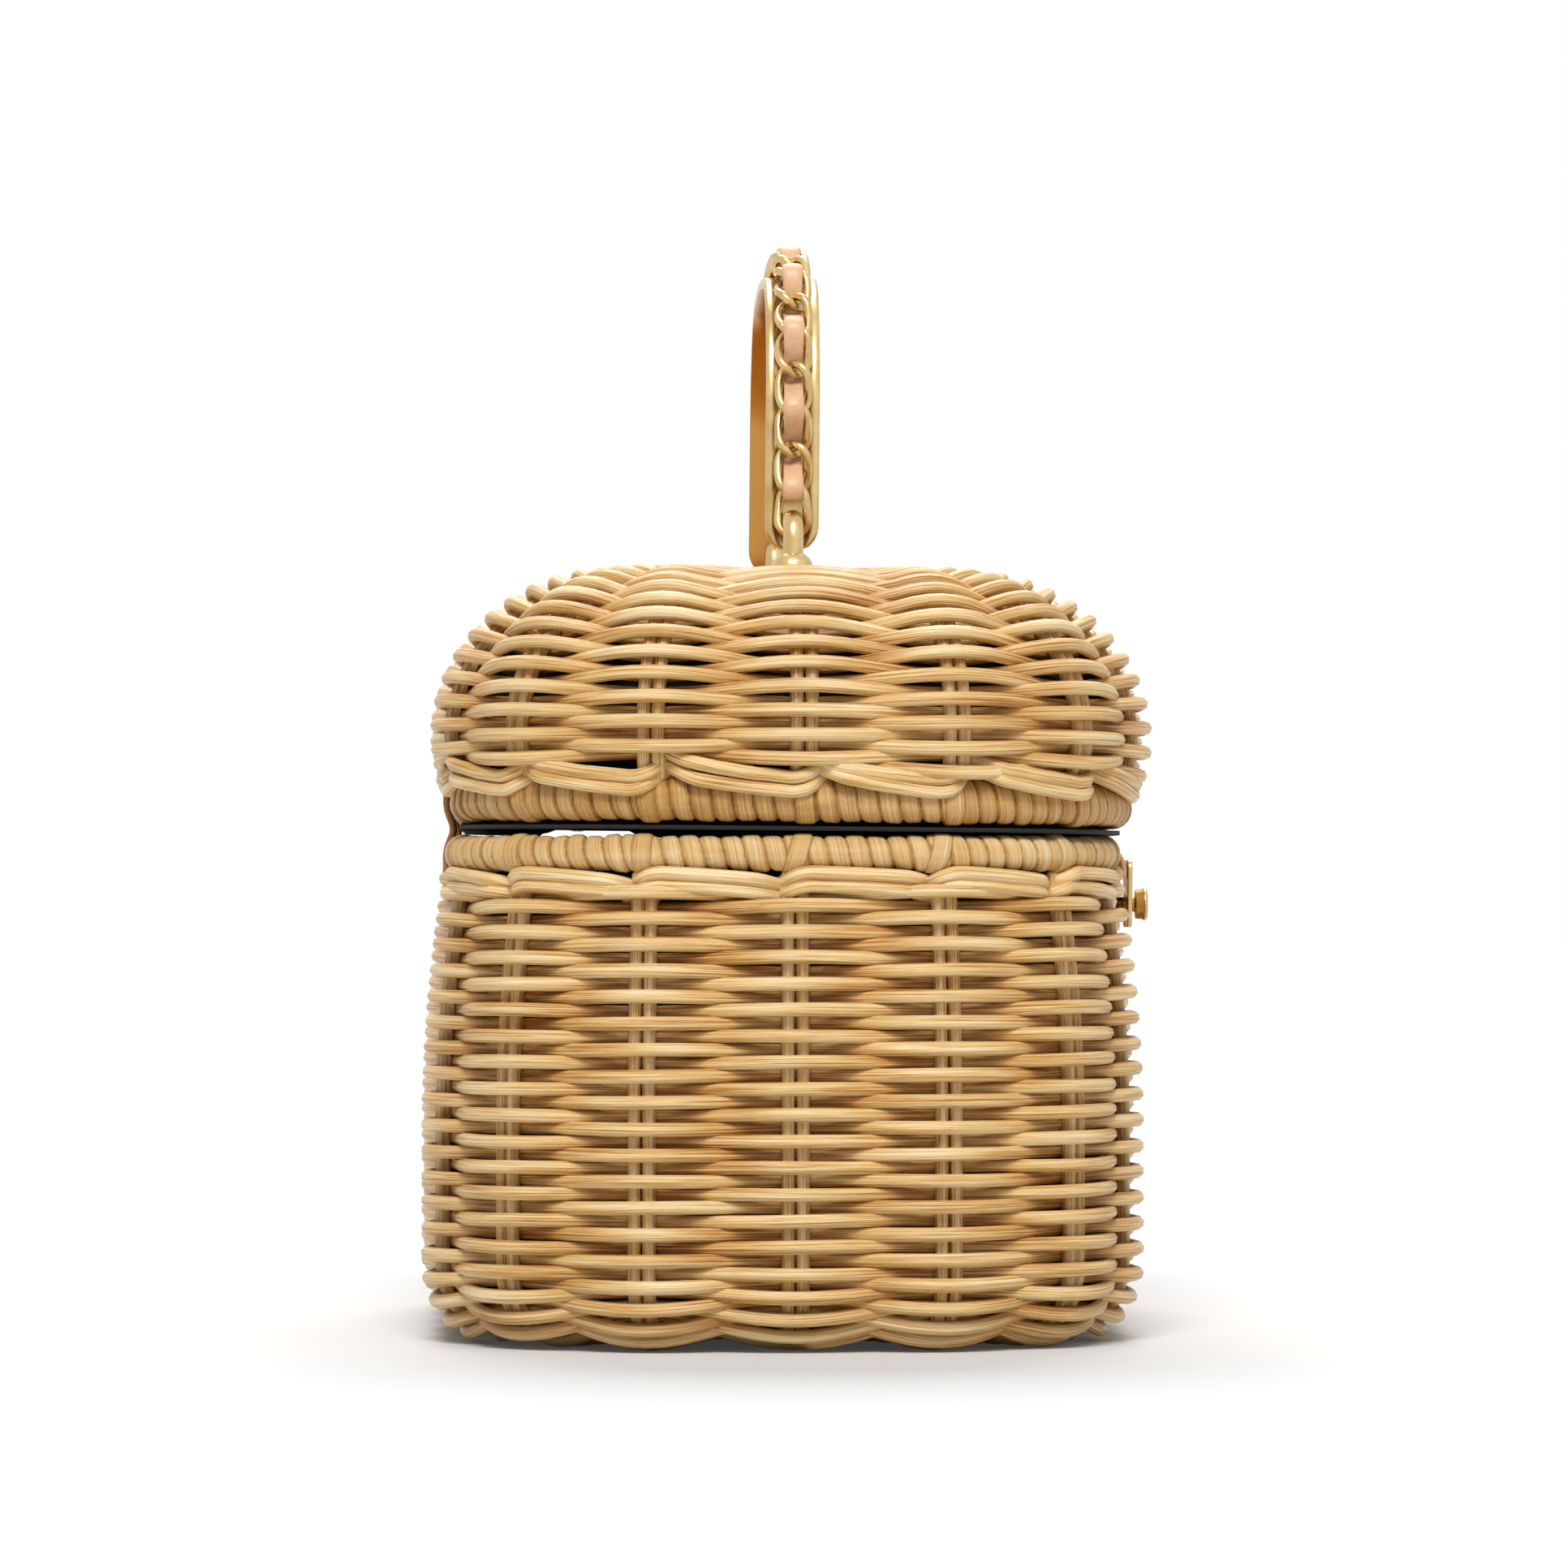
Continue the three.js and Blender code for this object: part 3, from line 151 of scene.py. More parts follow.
STAPLE_OUTSIDE = 8.5 * MM
STAPLE_BEND = 4 * MM


# Plan of the case: a rounded rectangle, walked round its stake line from the +X end towards the back
LONG_SIDE = 2 * (HALF_LENGTH - CORNER_RADIUS)
SHORT_SIDE = 2 * (HALF_DEPTH - CORNER_RADIUS)
CORNER_ARC = math.pi / 2 * (CORNER_RADIUS - STAKE_DEPTH)
ROUND = 2 * (LONG_SIDE + SHORT_SIDE) + 4 * CORNER_ARC
SPACING = ROUND / STAKE_PAIRS
FRONT_MIDDLE = 3 * CORNER_ARC + 1.5 * LONG_SIDE + SHORT_SIDE
FIRST_STAKE = FRONT_MIDDLE - CLASP_TO_STAKE - CLASP_PAIR * SPACING
CORNERS = ((1, 1), (-1, 1), (-1, -1), (1, -1))
CORNER_STARTS = (
    0,
    CORNER_ARC + LONG_SIDE,
    2 * CORNER_ARC + LONG_SIDE + SHORT_SIDE,
    3 * CORNER_ARC + 2 * LONG_SIDE + SHORT_SIDE,
)


def plan_at(walked, inset):
    """Point of the plan, drawn in by inset, at a distance walked round the stake line."""
    half_x = HALF_LENGTH - inset
    half_y = HALF_DEPTH - inset
    radius = max(CORNER_RADIUS - inset, CROWN_CORNER * half_y)
    walked %= ROUND
    for quarter, (side_x, side_y) in enumerate(CORNERS):
        centre = Vector((side_x * (half_x - radius), side_y * (half_y - radius)))
        if walked < CORNER_ARC:
            angle = (quarter + walked / CORNER_ARC) * math.pi / 2
            return centre + radius * Vector((math.cos(angle), math.sin(angle)))
        walked -= CORNER_ARC
        straight = SHORT_SIDE if quarter % 2 else LONG_SIDE
        if walked < straight:
            next_x, next_y = CORNERS[(quarter + 1) % 4]
            angle = (quarter + 1) * math.pi / 2
            along = Vector((next_x * (half_x - radius), next_y * (half_y - radius)))
            outward = Vector((math.cos(angle), math.sin(angle)))
            return centre.lerp(along, walked / straight) + radius * outward
        walked -= straight
    return plan_at(0, inset)


class Section:
    """Line of a wall as (inset, z) points, measured along itself.

    A lid's line runs crown_drop below the lid's crown.
    """

    def __init__(self, points, crown_drop=None):
        self.crown_drop = crown_drop
        self.points = [Vector(p) for p in points]
        self.marks = [0.0]
        for a, b in zip(self.points, self.points[1:]):
            self.marks.append(self.marks[-1] + (b - a).length)
        self.length = self.marks[-1]

    def at(self, distance, depth):
        index = 0
        while index < len(self.points) - 2 and self.marks[index + 1] < distance:
            index += 1
        a, b = self.points[index], self.points[index + 1]
        way = (b - a).normalized()
        point = a + way * (distance - self.marks[index])
        return point.x + way.y * depth, point.y - way.x * depth


def belly_inset(z):
    above = max(z - BELLY_HEIGHT, 0) / (BODY_HEIGHT - BELLY_HEIGHT)
    return NECK_INSET * above * above


def body_section(offset=0.0, top=BODY_HEIGHT):
    """Line of the body's wall at an offset inside its outer face, from the base up."""
    turns = [math.pi / 2 * i / 24 for i in range(25)]
    edge = [
        (EDGE_INSET - (EDGE_INSET - offset) * math.sin(t), EDGE_HEIGHT - (EDGE_HEIGHT - offset) * math.cos(t))
        for t in turns
    ]
    heights = [EDGE_HEIGHT + (top - EDGE_HEIGHT) * i / 30 for i in range(1, 31)]
    return edge + [(offset + belly_inset(z), z) for z in heights]


def lid_section(offset=0.0, low=LID_EDGE):
    """Line of the lid at an offset inside its outer face, from its lower edge to the top of its shoulder."""
    heights = [low + (LID_BELLY - low) * i / 8 for i in range(8)]
    skirt = [(offset + LID_SKIRT_INSET * ((LID_BELLY - z) / LID_SKIRT) ** 2, z) for z in heights]
    turns = [math.pi / 2 * i / 40 for i in range(41)]
    dome = [
        (LID_SHOULDER - (LID_SHOULDER - offset) * math.cos(t), LID_BELLY + (LID_RISE - offset) * math.sin(t))
        for t in turns
    ]
    return skirt + dome


def crown_height(x, y):
    """Height of the lid's nearly flat crown, a low cone inside its shoulder."""
    out = max(abs(x) / (HALF_LENGTH - LID_SHOULDER), abs(y) / (HALF_DEPTH - LID_SHOULDER))
    return LID_TOP + CROWN_RISE * (1 - out)


def wall_point(section, walked, distance, depth):
    inset, z = section.at(distance, depth)
    point = plan_at(walked, inset)
    if section.crown_drop is not None and inset > LID_SHOULDER:
        z = crown_height(point.x, point.y) - section.crown_drop - depth
    return Vector((point.x, point.y, z))


# Making pieces
SAME_PLACE = 0.001 * MM
END_RING = 0.02 * MM


def add_object(name, mesh):
    piece = bpy.data.objects.new(name, mesh)
    bpy.context.scene.collection.objects.link(piece)
    return piece


def write_grain(mesh, grain, recess):
    """Stores where each point lies along and round its strand, and its recess, from 0 in the open to 1, which
    the materials use for painted shade and painted reflection.
    """
    layer = mesh.attributes.new("grain", "FLOAT_VECTOR", "POINT")
    layer.data.foreach_set("vector", [number for value in grain for number in value])
    layer = mesh.attributes.new("recess", "FLOAT", "POINT")
    layer.data.foreach_set("value", recess)


def tube(name, lines, radius, sides=8, closed=False, place=LEVEL, recess_at=None):
    """Round strands along lines of (x, y, z, thickness), joined in one mesh."""
    curve = bpy.data.curves.new(name, "CURVE")
    curve.dimensions = "3D"
    curve.twist_mode = "MINIMUM"
    curve.bevel_depth = radius
    curve.bevel_resolution = sides // 2 - 2
    for line in lines:
        spline = curve.splines.new("POLY")
        spline.points.add(len(line) - 1)
        spline.points.foreach_set("co", [c for p in line for c in (p[0], p[1], p[2], 1.0)])
        spline.points.foreach_set("radius", [p[3] for p in line])
        spline.use_cyclic_u = closed
    holder = bpy.data.objects.new(name, curve)
    mesh = bpy.data.meshes.new_from_object(holder)
    bpy.data.objects.remove(holder)
    bpy.data.curves.remove(curve)
    grain = []
    recess = []
    for line in lines:
        walked = CHANCE.uniform(0, 1)
        last = Vector(line[0][:3])
        for i, p in enumerate(line):
            walked += (Vector(p[:3]) - last).length
            last = Vector(p[:3])
            turns = [2 * math.pi * k / sides for k in range(sides)]
            grain += [(walked, math.cos(t), math.sin(t)) for t in turns]
            recess += [recess_at(i) if recess_at else 0.0] * sides
    write_grain(mesh, grain, recess)
    mesh.transform(place)
    if not closed:
        close_ends(mesh)
    mesh.shade_smooth()
    return add_object(name, mesh)


def close_ends(mesh):
    """Draws the fine last rings of open strands together."""
    bm = bmesh.new()
    bm.from_mesh(mesh)
    bmesh.ops.remove_doubles(bm, verts=bm.verts, dist=END_RING)
    bm.to_mesh(mesh)
    bm.free()


def rounded(points, radius):
    """A line of points with full thickness and round, closed ends."""
    start = Vector(points[0]) - Vector(points[1])
    end = Vector(points[-1]) - Vector(points[-2])
    start.normalize()
    end.normalize()
    steps = [(0.0, POINTED), (0.3, 0.71), (0.7, 0.95), (1.0, 1.0)]
    line = []
    for along, thickness in steps:
        line.append((*(Vector(points[0]) + start * radius * (1 - along)), thickness))
    line += [(*p, 1.0) for p in points[1:-1]]
    for along, thickness in reversed(steps):
        line.append((*(Vector(points[-1]) + end * radius * (1 - along)), thickness))
    return line


def swept(name, steps, sides, spot, place=LEVEL, closed=False, caps=True):
    """A skin drawn over spot(along, round), each from 0 to 1, closed round and capped at its ends.

    The spot gives a point, its grain and its recess.
    """
    bm = bmesh.new()
    bmesh.ops.create_grid(bm, x_segments=steps, y_segments=sides, size=0.5)
    grain_layer = bm.verts.layers.float_vector.new("grain")
    recess_layer = bm.verts.layers.float.new("recess")
    for vert in bm.verts:
        along, turn = vert.co.x + 0.5, vert.co.y + 0.5
        vert.co, vert[grain_layer], vert[recess_layer] = spot(along, turn)
    bmesh.ops.remove_doubles(bm, verts=bm.verts, dist=SAME_PLACE)
    if caps and not closed:
        edges = [e for e in bm.edges if e.is_boundary]
        bmesh.ops.holes_fill(bm, edges=edges, sides=0)
    bmesh.ops.recalc_face_normals(bm, faces=bm.faces)
    mesh = bpy.data.meshes.new(name)
    bm.to_mesh(mesh)
    bm.free()
    mesh.transform(place)
    mesh.shade_smooth()
    return add_object(name, mesh)


def turned(name, profile, centre, axis, place=LEVEL, segments=48):
    """A turned piece: a profile of (radius, height) spun about an axis through its centre."""
    bm = bmesh.new()
    verts = [bm.verts.new((r, 0, h)) for r, h in profile]
    edges = [bm.edges.new(pair) for pair in zip(verts, verts[1:])]
    bmesh.ops.spin(
        bm, geom=verts + edges, cent=(0, 0, 0), axis=(0, 0, 1), angle=2 * math.pi,
        steps=segments, use_merge=True,
    )
    bmesh.ops.remove_doubles(bm, verts=bm.verts, dist=SAME_PLACE)
    bmesh.ops.recalc_face_normals(bm, faces=bm.faces)
    mesh = bpy.data.meshes.new(name)
    bm.to_mesh(mesh)
    bm.free()
    upright = Vector((0, 0, 1)).rotation_difference(Vector(axis)).to_matrix().to_4x4()
    mesh.transform(place @ Matrix.Translation(centre) @ upright)
    mesh.shade_smooth()
    return add_object(name, mesh)


def soften(piece, width, segments=2):
    bevel = piece.modifiers.new("edges", "BEVEL")
    bevel.width = width
    bevel.segments = segments
    bevel.limit_method = "ANGLE"
    bevel.angle_limit = math.radians(35)


def settle(piece, body, material, slot, *nodes):
    """Gives a piece its finish, its body and the CAD nodes that it stands for."""
    piece.data.materials.clear()
    piece.data.materials.append(material)
    if body:
        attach(piece, body)
    if nodes:
        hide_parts(*nodes)


# Materials
def linear(code):
    channels = [int(code[i:i + 2], 16) / 255 for i in (1, 3, 5)]
    return tuple(c / 12.92 if c <= 0.04045 else ((c + 0.055) / 1.055) ** 2.4 for c in channels) + (1.0,)


def add_node(tree, kind, inputs=None, **settings):
    made = tree.nodes.new(kind)
    for name, value in settings.items():
        setattr(made, name, value)
    for key, value in (inputs or {}).items():
        if isinstance(value, bpy.types.NodeSocket):
            tree.links.new(value, made.inputs[key])
        else:
            made.inputs[key].default_value = value
    return made


def new_material(name):
    material = bpy.data.materials.new(name)
    material.use_nodes = True
    tree = material.node_tree
    return material, tree, tree.nodes["Principled BSDF"]


def ramp(tree, factor, stops):
    made = add_node(tree, "ShaderNodeValToRGB", {"Fac": factor})
    elements = made.color_ramp.elements
    while len(elements) < len(stops):
        elements.new(0.5)
    for element, (position, code) in zip(elements, stops):
        element.position = position
        element.color = linear(code)
    return made.outputs["Color"]


def math_node(tree, operation, *values):
    return add_node(tree, "ShaderNodeMath", dict(enumerate(values)), operation=operation).outputs[0]


def scaled(tree, vector, factors):
    return add_node(tree, "ShaderNodeVectorMath", {0: vector, 1: factors}, operation="MULTIPLY").outputs[0]


def mottle(tree, vector, scale, detail, roughness=0.5):
    inputs = {"Vector": vector, "Scale": scale, "Detail": detail, "Roughness": roughness}
    return add_node(tree, "ShaderNodeTexNoise", inputs).outputs["Fac"]


def ranged(tree, value, source, target):
    inputs = {"Value": value}
    inputs.update({"From Min": source[0], "From Max": source[1], "To Min": target[0], "To Max": target[1]})
    return add_node(tree, "ShaderNodeMapRange", inputs).outputs[0]


def emboss(tree, shader, height, strength, distance):
    relief = add_node(tree, "ShaderNodeBump", {"Height": height, "Strength": strength, "Distance": distance})
    tree.links.new(relief.outputs["Normal"], shader.inputs["Normal"])


UNIT_GIRTH = 6.3


def strand_material(name, stops, line_count, streak_share, bump, roughness):
    """Plant strand: fine lines along it, a tone that drifts from strand to strand, faint blotches, and
    painted shade where it lies in recess.
    """
    material, tree, shader = new_material(name)
    grain = add_node(tree, "ShaderNodeAttribute", attribute_name="grain").outputs["Vector"]
    # One metre of strand carries about 40 changes of line, and its girth carries line_count lines
    across = line_count / UNIT_GIRTH
    lines = mottle(tree, scaled(tree, grain, (40, across, across)), 1.0, 4.0, 0.7)
    streaks = ranged(tree, lines, (0.34, 0.62), (0, 1))
    drift = mottle(tree, scaled(tree, grain, (9, 0, 0)), 1.0, 4.0, 0.7)
    place = add_node(tree, "ShaderNodeTexCoord").outputs["Object"]
    # Tone patches about 3 mm high and 40 mm long, so that neighbouring rows differ
    patch = mottle(tree, scaled(tree, place, (28, 28, 330)), 1.0, 2.0)
    tone = math_node(tree, "ADD", drift, patch)
    tone = math_node(tree, "MULTIPLY_ADD", streaks, streak_share, tone)
    # Painted shade: the strands are darkened where they dip into the wall, in the grooves between turns of
    # cane and along the stakes
    recess = add_node(tree, "ShaderNodeAttribute", attribute_name="recess").outputs["Fac"]
    tone = math_node(tree, "MULTIPLY_ADD", recess, -0.45, tone)
    tone = ranged(tree, tone, (0.5, 1.2 + streak_share), (0, 1))
    tree.links.new(ramp(tree, tone, stops), shader.inputs["Base Color"])
    emboss(tree, shader, lines, bump, 0.3 * MM)
    rough = ranged(tree, lines, (0, 1), (roughness - 0.08, roughness + 0.12))
    tree.links.new(rough, shader.inputs["Roughness"])
    shader.inputs["IOR"].default_value = 1.5
    return material


def brass_material():
    """Satin plated brass, brushed fine, a little deeper in tone where dulled, and painted amber where recess
    is 1: a painted reflection of the rattan and painted shade.
    """
    material, tree, shader = new_material("satin_brass")
    place = add_node(tree, "ShaderNodeTexCoord").outputs["Object"]
    cloud = mottle(tree, place, 180.0, 4.0)
    polished = ramp(tree, cloud, [(0.3, "#C0A066"), (0.7, "#D9BE8A")])
    # Of the brass pieces only the handle's band has a recess, on its inner face, which is painted amber as
    # painted reflection and shade
    inner = add_node(tree, "ShaderNodeAttribute", attribute_name="recess").outputs["Fac"]
    tone = add_node(tree, "ShaderNodeMix", {0: inner, 6: polished, 7: linear("#BF8C48")}, data_type="RGBA")
    tree.links.new(tone.outputs[2], shader.inputs["Base Color"])
    # Brushing about 0.1 mm apart, drawn at 0.25 mm so that it shows
    fine = mottle(tree, place, 4000.0, 2.0)
    tree.links.new(ranged(tree, cloud, (0, 1), (0.2, 0.36)), shader.inputs["Roughness"])
    emboss(tree, shader, fine, 0.12, 0.05 * MM)
    shader.inputs["Metallic"].default_value = 1.0
    return material


def leather_material(name, dark, light, roughness):
    """Dyed leather: pebbled grain about 0.5 mm across with fine creases between."""
    material, tree, shader = new_material(name)
    place = add_node(tree, "ShaderNodeTexCoord").outputs["Object"]
    pebble = add_node(tree, "ShaderNodeTexVoronoi", {"Vector": place, "Scale": 1900.0}, feature="SMOOTH_F1")
    cloud = mottle(tree, place, 260.0, 5.0, 0.65)
    tree.links.new(ramp(tree, cloud, [(0.3, dark), (0.7, light)]), shader.inputs["Base Color"])
    emboss(tree, shader, pebble.outputs["Distance"], 0.35, 0.15 * MM)
    rough = ranged(tree, cloud, (0, 1), (roughness - 0.08, roughness + 0.1))
    tree.links.new(rough, shader.inputs["Roughness"])
    return material


def lining_material():
    """Dark plain-woven cotton: threads about 0.6 mm apart, crossing at right angles."""
    material, tree, shader = new_material("dark_cotton_lining")
    place = add_node(tree, "ShaderNodeTexCoord").outputs["Object"]
    threads = 2 * math.pi / (0.6 * MM)
    threaded = scaled(tree, place, (threads, threads, threads))
    parts = add_node(tree, "ShaderNodeSeparateXYZ", {0: threaded}).outputs
    warp = math_node(tree, "SINE", math_node(tree, "ADD", parts["X"], parts["Y"]))
    weft = math_node(tree, "SINE", parts["Z"])
    shade = ranged(tree, math_node(tree, "MULTIPLY", warp, weft), (-1, 1), (0, 1))
    tree.links.new(ramp(tree, shade, [(0.0, "#080605"), (1.0, "#191311")]), shader.inputs["Base Color"])
    emboss(tree, shader, shade, 0.4, 0.2 * MM)
    shader.inputs["Roughness"].default_value = 0.9
    shader.inputs["Sheen Weight"].default_value = 0.04
    return material


RATTAN = strand_material(
    "round_core_rattan",
    [(0.0, "#5C2400"), (0.3, "#B27426"), (0.6, "#E0B874"), (1.0, "#F8E6C0")], 26, 0.95, 0.8, 0.38,
)
CANE = strand_material(
    "flat_wrapping_cane",
    [(0.0, "#7A4612"), (0.3, "#C18D47"), (0.62, "#DDB474"), (1.0, "#F2DDB2")], 60, 0.8, 0.8, 0.38,
)
# The lid's rim is wrapped in a darker, browner copy of the body's cane: painted shade for the shadow under
# the lid's border
SHADED_CANE = strand_material(
    "wrapping_cane_painted_shade",
    [(0.0, "#5A2A06"), (0.3, "#A06A26"), (0.62, "#C4924C"), (1.0, "#E2C08A")], 60, 0.8, 0.8, 0.38,
)
BRASS = brass_material()
PALE_LEATHER = leather_material("pale_beige_leather", "#D3A378", "#E2B890", 0.38)
TAN_LEATHER = leather_material("tan_hinge_leather", "#8A5A2E", "#B27B45", 0.6)
LINING = lining_material()


# Weave
def crown_ease(inset):
    """Weavers swing less where the stakes draw together on the crown and base."""
    radius = max(CORNER_RADIUS - inset, CROWN_CORNER * (HALF_DEPTH - inset))
    return min(1.0, max(0.4, 1.5 * radius / CORNER_RADIUS))


def weave(name, section, first_row, last_row, place, steps=STEPS_PER_STAKE, hidden_rows=0):
    """One long weaver that climbs row by row, outside one pair of stakes and inside the next."""
    turn_steps = STAKE_PAIRS * steps
    rows = (last_row - first_row) / ROW_PITCH
    line = []
    for i in range(-hidden_rows * turn_steps, int(rows * turn_steps) + 1):
        turn = i / turn_steps
        walked = FIRST_STAKE + turn * ROUND
        distance = first_row + turn * ROW_PITCH
        inset, _ = section.at(distance, STAKE_DEPTH)
        wander = noise.noise(Vector((walked * WANDER_ALONG, distance * WANDER_UP, 0)))
        reach = WEAVER_SWING * crown_ease(inset)
        depth = min(STAKE_DEPTH, reach + WEAVER_RADIUS) - reach * math.cos(math.pi * i / steps)
        point = wall_point(section, walked, distance + wander * ROW_WANDER, depth)
        girth = noise.noise(Vector((walked * GIRTH_ALONG, turn * GIRTH_ROWS, 3)))
        line.append((*point, 1 + GIRTH_SPREAD * girth))
    line[0] = (*line[0][:3], POINTED)
    line[-1] = (*line[-1][:3], POINTED)
    turns_before = hidden_rows * STAKE_PAIRS
    # The recess rises to 1 where the weaver runs inside the stakes, and the rattan material paints shade
    # there
    return tube(
        name, [line], WEAVER_RADIUS, place=place,
        recess_at=lambda i: 0.5 - 0.5 * math.cos(math.pi * (i / steps - turns_before)),
    )


def stake_lines(section, low, high, corner_high, steps=20):
    lines = []
    for pair in range(STAKE_PAIRS):
        middle = FIRST_STAKE + pair * SPACING
        on_corner = any(start <= middle % ROUND <= start + CORNER_ARC for start in CORNER_STARTS)
        end = corner_high if on_corner else high
        for side in (-0.5, 0.5):
            walked = middle + side * STAKE_PITCH
            distances = [low + (end - low) * i / steps for i in range(steps + 1)]
            points = [wall_point(section, walked, distance, STAKE_DEPTH) for distance in distances]
            lines.append(rounded(points, STAKE_RADIUS))
    return lines


CENTRE_LEFT = 7 * MM
BODY = Section(body_section())
LID = Section(lid_section() + [(HALF_DEPTH - CENTRE_LEFT, LID_TOP + CROWN_RISE)], 0.0)
BASE = Section([(HALF_DEPTH - CENTRE_LEFT, 0), (EDGE_INSET, 0)])
DOME_LENGTH = LID.marks[-2]
BODY_FIRST_ROW = 1.4 * MM
LID_FIRST_ROW = 4.6 * MM
# Painted shade laid evenly over the stakes, which stand back behind the weavers
STAKE_PAINTED_SHADE = 0.15
BASE_STEPS = 6

settle(
    weave("body_weavers", BODY, BODY_FIRST_ROW, BODY.length - 2.2 * MM, LEVEL),
    "case", RATTAN, "rattan", "side_weave",
)
body_stakes = stake_lines(BODY, 0, BODY.length, BODY.length)
settle(
    tube("body_stakes_round", body_stakes, STAKE_RADIUS, recess_at=lambda i: STAKE_PAINTED_SHADE),
    "case", RATTAN, "rattan", "body_stakes",
)
settle(
    weave("base_weavers", BASE, 1 * MM, BASE.length - 1 * MM, LEVEL, BASE_STEPS),
    "case", RATTAN, "rattan", "base_weave",
)
settle(
    weave("lid_weavers", LID, LID_FIRST_ROW, LID.length + 1 * MM, LID_PLACE, hidden_rows=1),
    "lid", RATTAN, "rattan", "lid_weave",
)
lid_stakes = stake_lines(LID, 0, LID.length - 4 * MM, DOME_LENGTH + 6 * MM)
settle(
    tube("lid_stakes_round", lid_stakes, STAKE_RADIUS, place=LID_PLACE, recess_at=lambda i: STAKE_PAINTED_SHADE),
    "lid", RATTAN, "rattan", "lid_stakes",
)


def middle_sticks(name, height_at, place, steps=24):
    """Five parallel sticks along the middle of an oval, where the rows begin."""
    reach = HALF_LENGTH - HALF_DEPTH + CENTRE_LEFT
    lines = []
    for number in range(-2, 3):
        y = number * 2 * WEAVER_RADIUS
        half = reach - abs(number) * WEAVER_RADIUS
        xs = [half * (2 * i / steps - 1) for i in range(steps + 1)]
        lines.append(rounded([Vector((x, y, height_at(x, y))) for x in xs], WEAVER_RADIUS))
    return tube(name, lines, WEAVER_RADIUS, place=place)


settle(
    middle_sticks("base_sticks", lambda x, y: 2 * WEAVER_RADIUS, LEVEL),
    "case", RATTAN, "rattan", "base_weave",
)
settle(
    middle_sticks("crown_sticks", lambda x, y: crown_height(x, y) - 1.6 * WEAVER_RADIUS, LID_PLACE),
    "lid", RATTAN, "rattan", "lid_weave",
)


# Borders: each pair of stakes is laid over beside the rim, in front of its own stake and behind the next
def smooth(t):
    t = min(max(t, 0.0), 1.0)
    return t * t * (3 - 2 * t)


STRAP_X = HALF_LENGTH - CORNER_RADIUS - 11 * MM
STRAP_WIDE = 15 * MM
STRAP_SEAT = 1.4 * MM
STRAND_STEP = 2.4 * MM
BORDER_STEPS = 28
BORDER_LAP = 5 * MM
# Shares of a border strand's length: out of the wall, back towards it, the way in, and uncurled
BORDER_OUT = 0.14
BORDER_BACK = 0.72
BORDER_IN = 0.25
BORDER_UNCURLED = 0.22
BORDER_BOW = 1.7


def beside_strap(walked):
    """1 at a hinge strap, which the rim and the lining make room for, and 0 a little away from it."""
    at = plan_at(walked, 0)
    if at.y < HALF_DEPTH - MM:
        return 0.0
    return 1 - smooth((abs(abs(at.x) - STRAP_X) - STRAP_WIDE / 2 - MM) / (2 * MM))


def border(name, section, edge, inward, way, fall_range, hook_depth, place):
    """Strands that come out of the wall, curl to its edge and draw away from it again to pass behind."""
    lines = []
    for pair in range(STAKE_PAIRS):
        middle = FIRST_STAKE + pair * SPACING
        for strand in (0, 1):
            start = CHANCE.uniform(-6.0, -3.0) * MM
            fall = CHANCE.uniform(*fall_range) * MM
            points = []
            for i in range(BORDER_STEPS + 1):
                t = i / BORDER_STEPS
                walked = middle + way * (start + t * (SPACING + BORDER_LAP))
                shown = smooth(t / BORDER_OUT) - smooth((t - BORDER_BACK) / BORDER_IN)
                front = (2.1 - 0.25 * strand) * shown - 1
                out = WEAVER_SWING * (front + 0.1 * noise.noise(Vector((pair, strand, 5 * t))))
                above_strap = (1 - strand) * STRAND_STEP * beside_strap(walked)
                hook = (hook_depth + above_strap) * (1 - smooth(t / BORDER_UNCURLED))
                distance = edge + inward * (strand * STRAND_STEP + fall * t ** BORDER_BOW + hook)
                points.append(wall_point(section, walked, distance, STAKE_DEPTH - out))
            lines.append(rounded(points, WEAVER_RADIUS))
    return tube(name, lines, WEAVER_RADIUS, place=place)


settle(
    border("body_border", BODY, BODY.length + 0.4 * MM, -1, 1, (1.2, 2.6), 1.7 * MM, LEVEL),
    "case", RATTAN, "rattan", "side_weave",
)
settle(
    border("lid_border", LID, -2.2 * MM, 1, -1, (3.8, 5.8), 1.9 * MM, LID_PLACE),
    "lid", RATTAN, "rattan", "lid_weave",
)


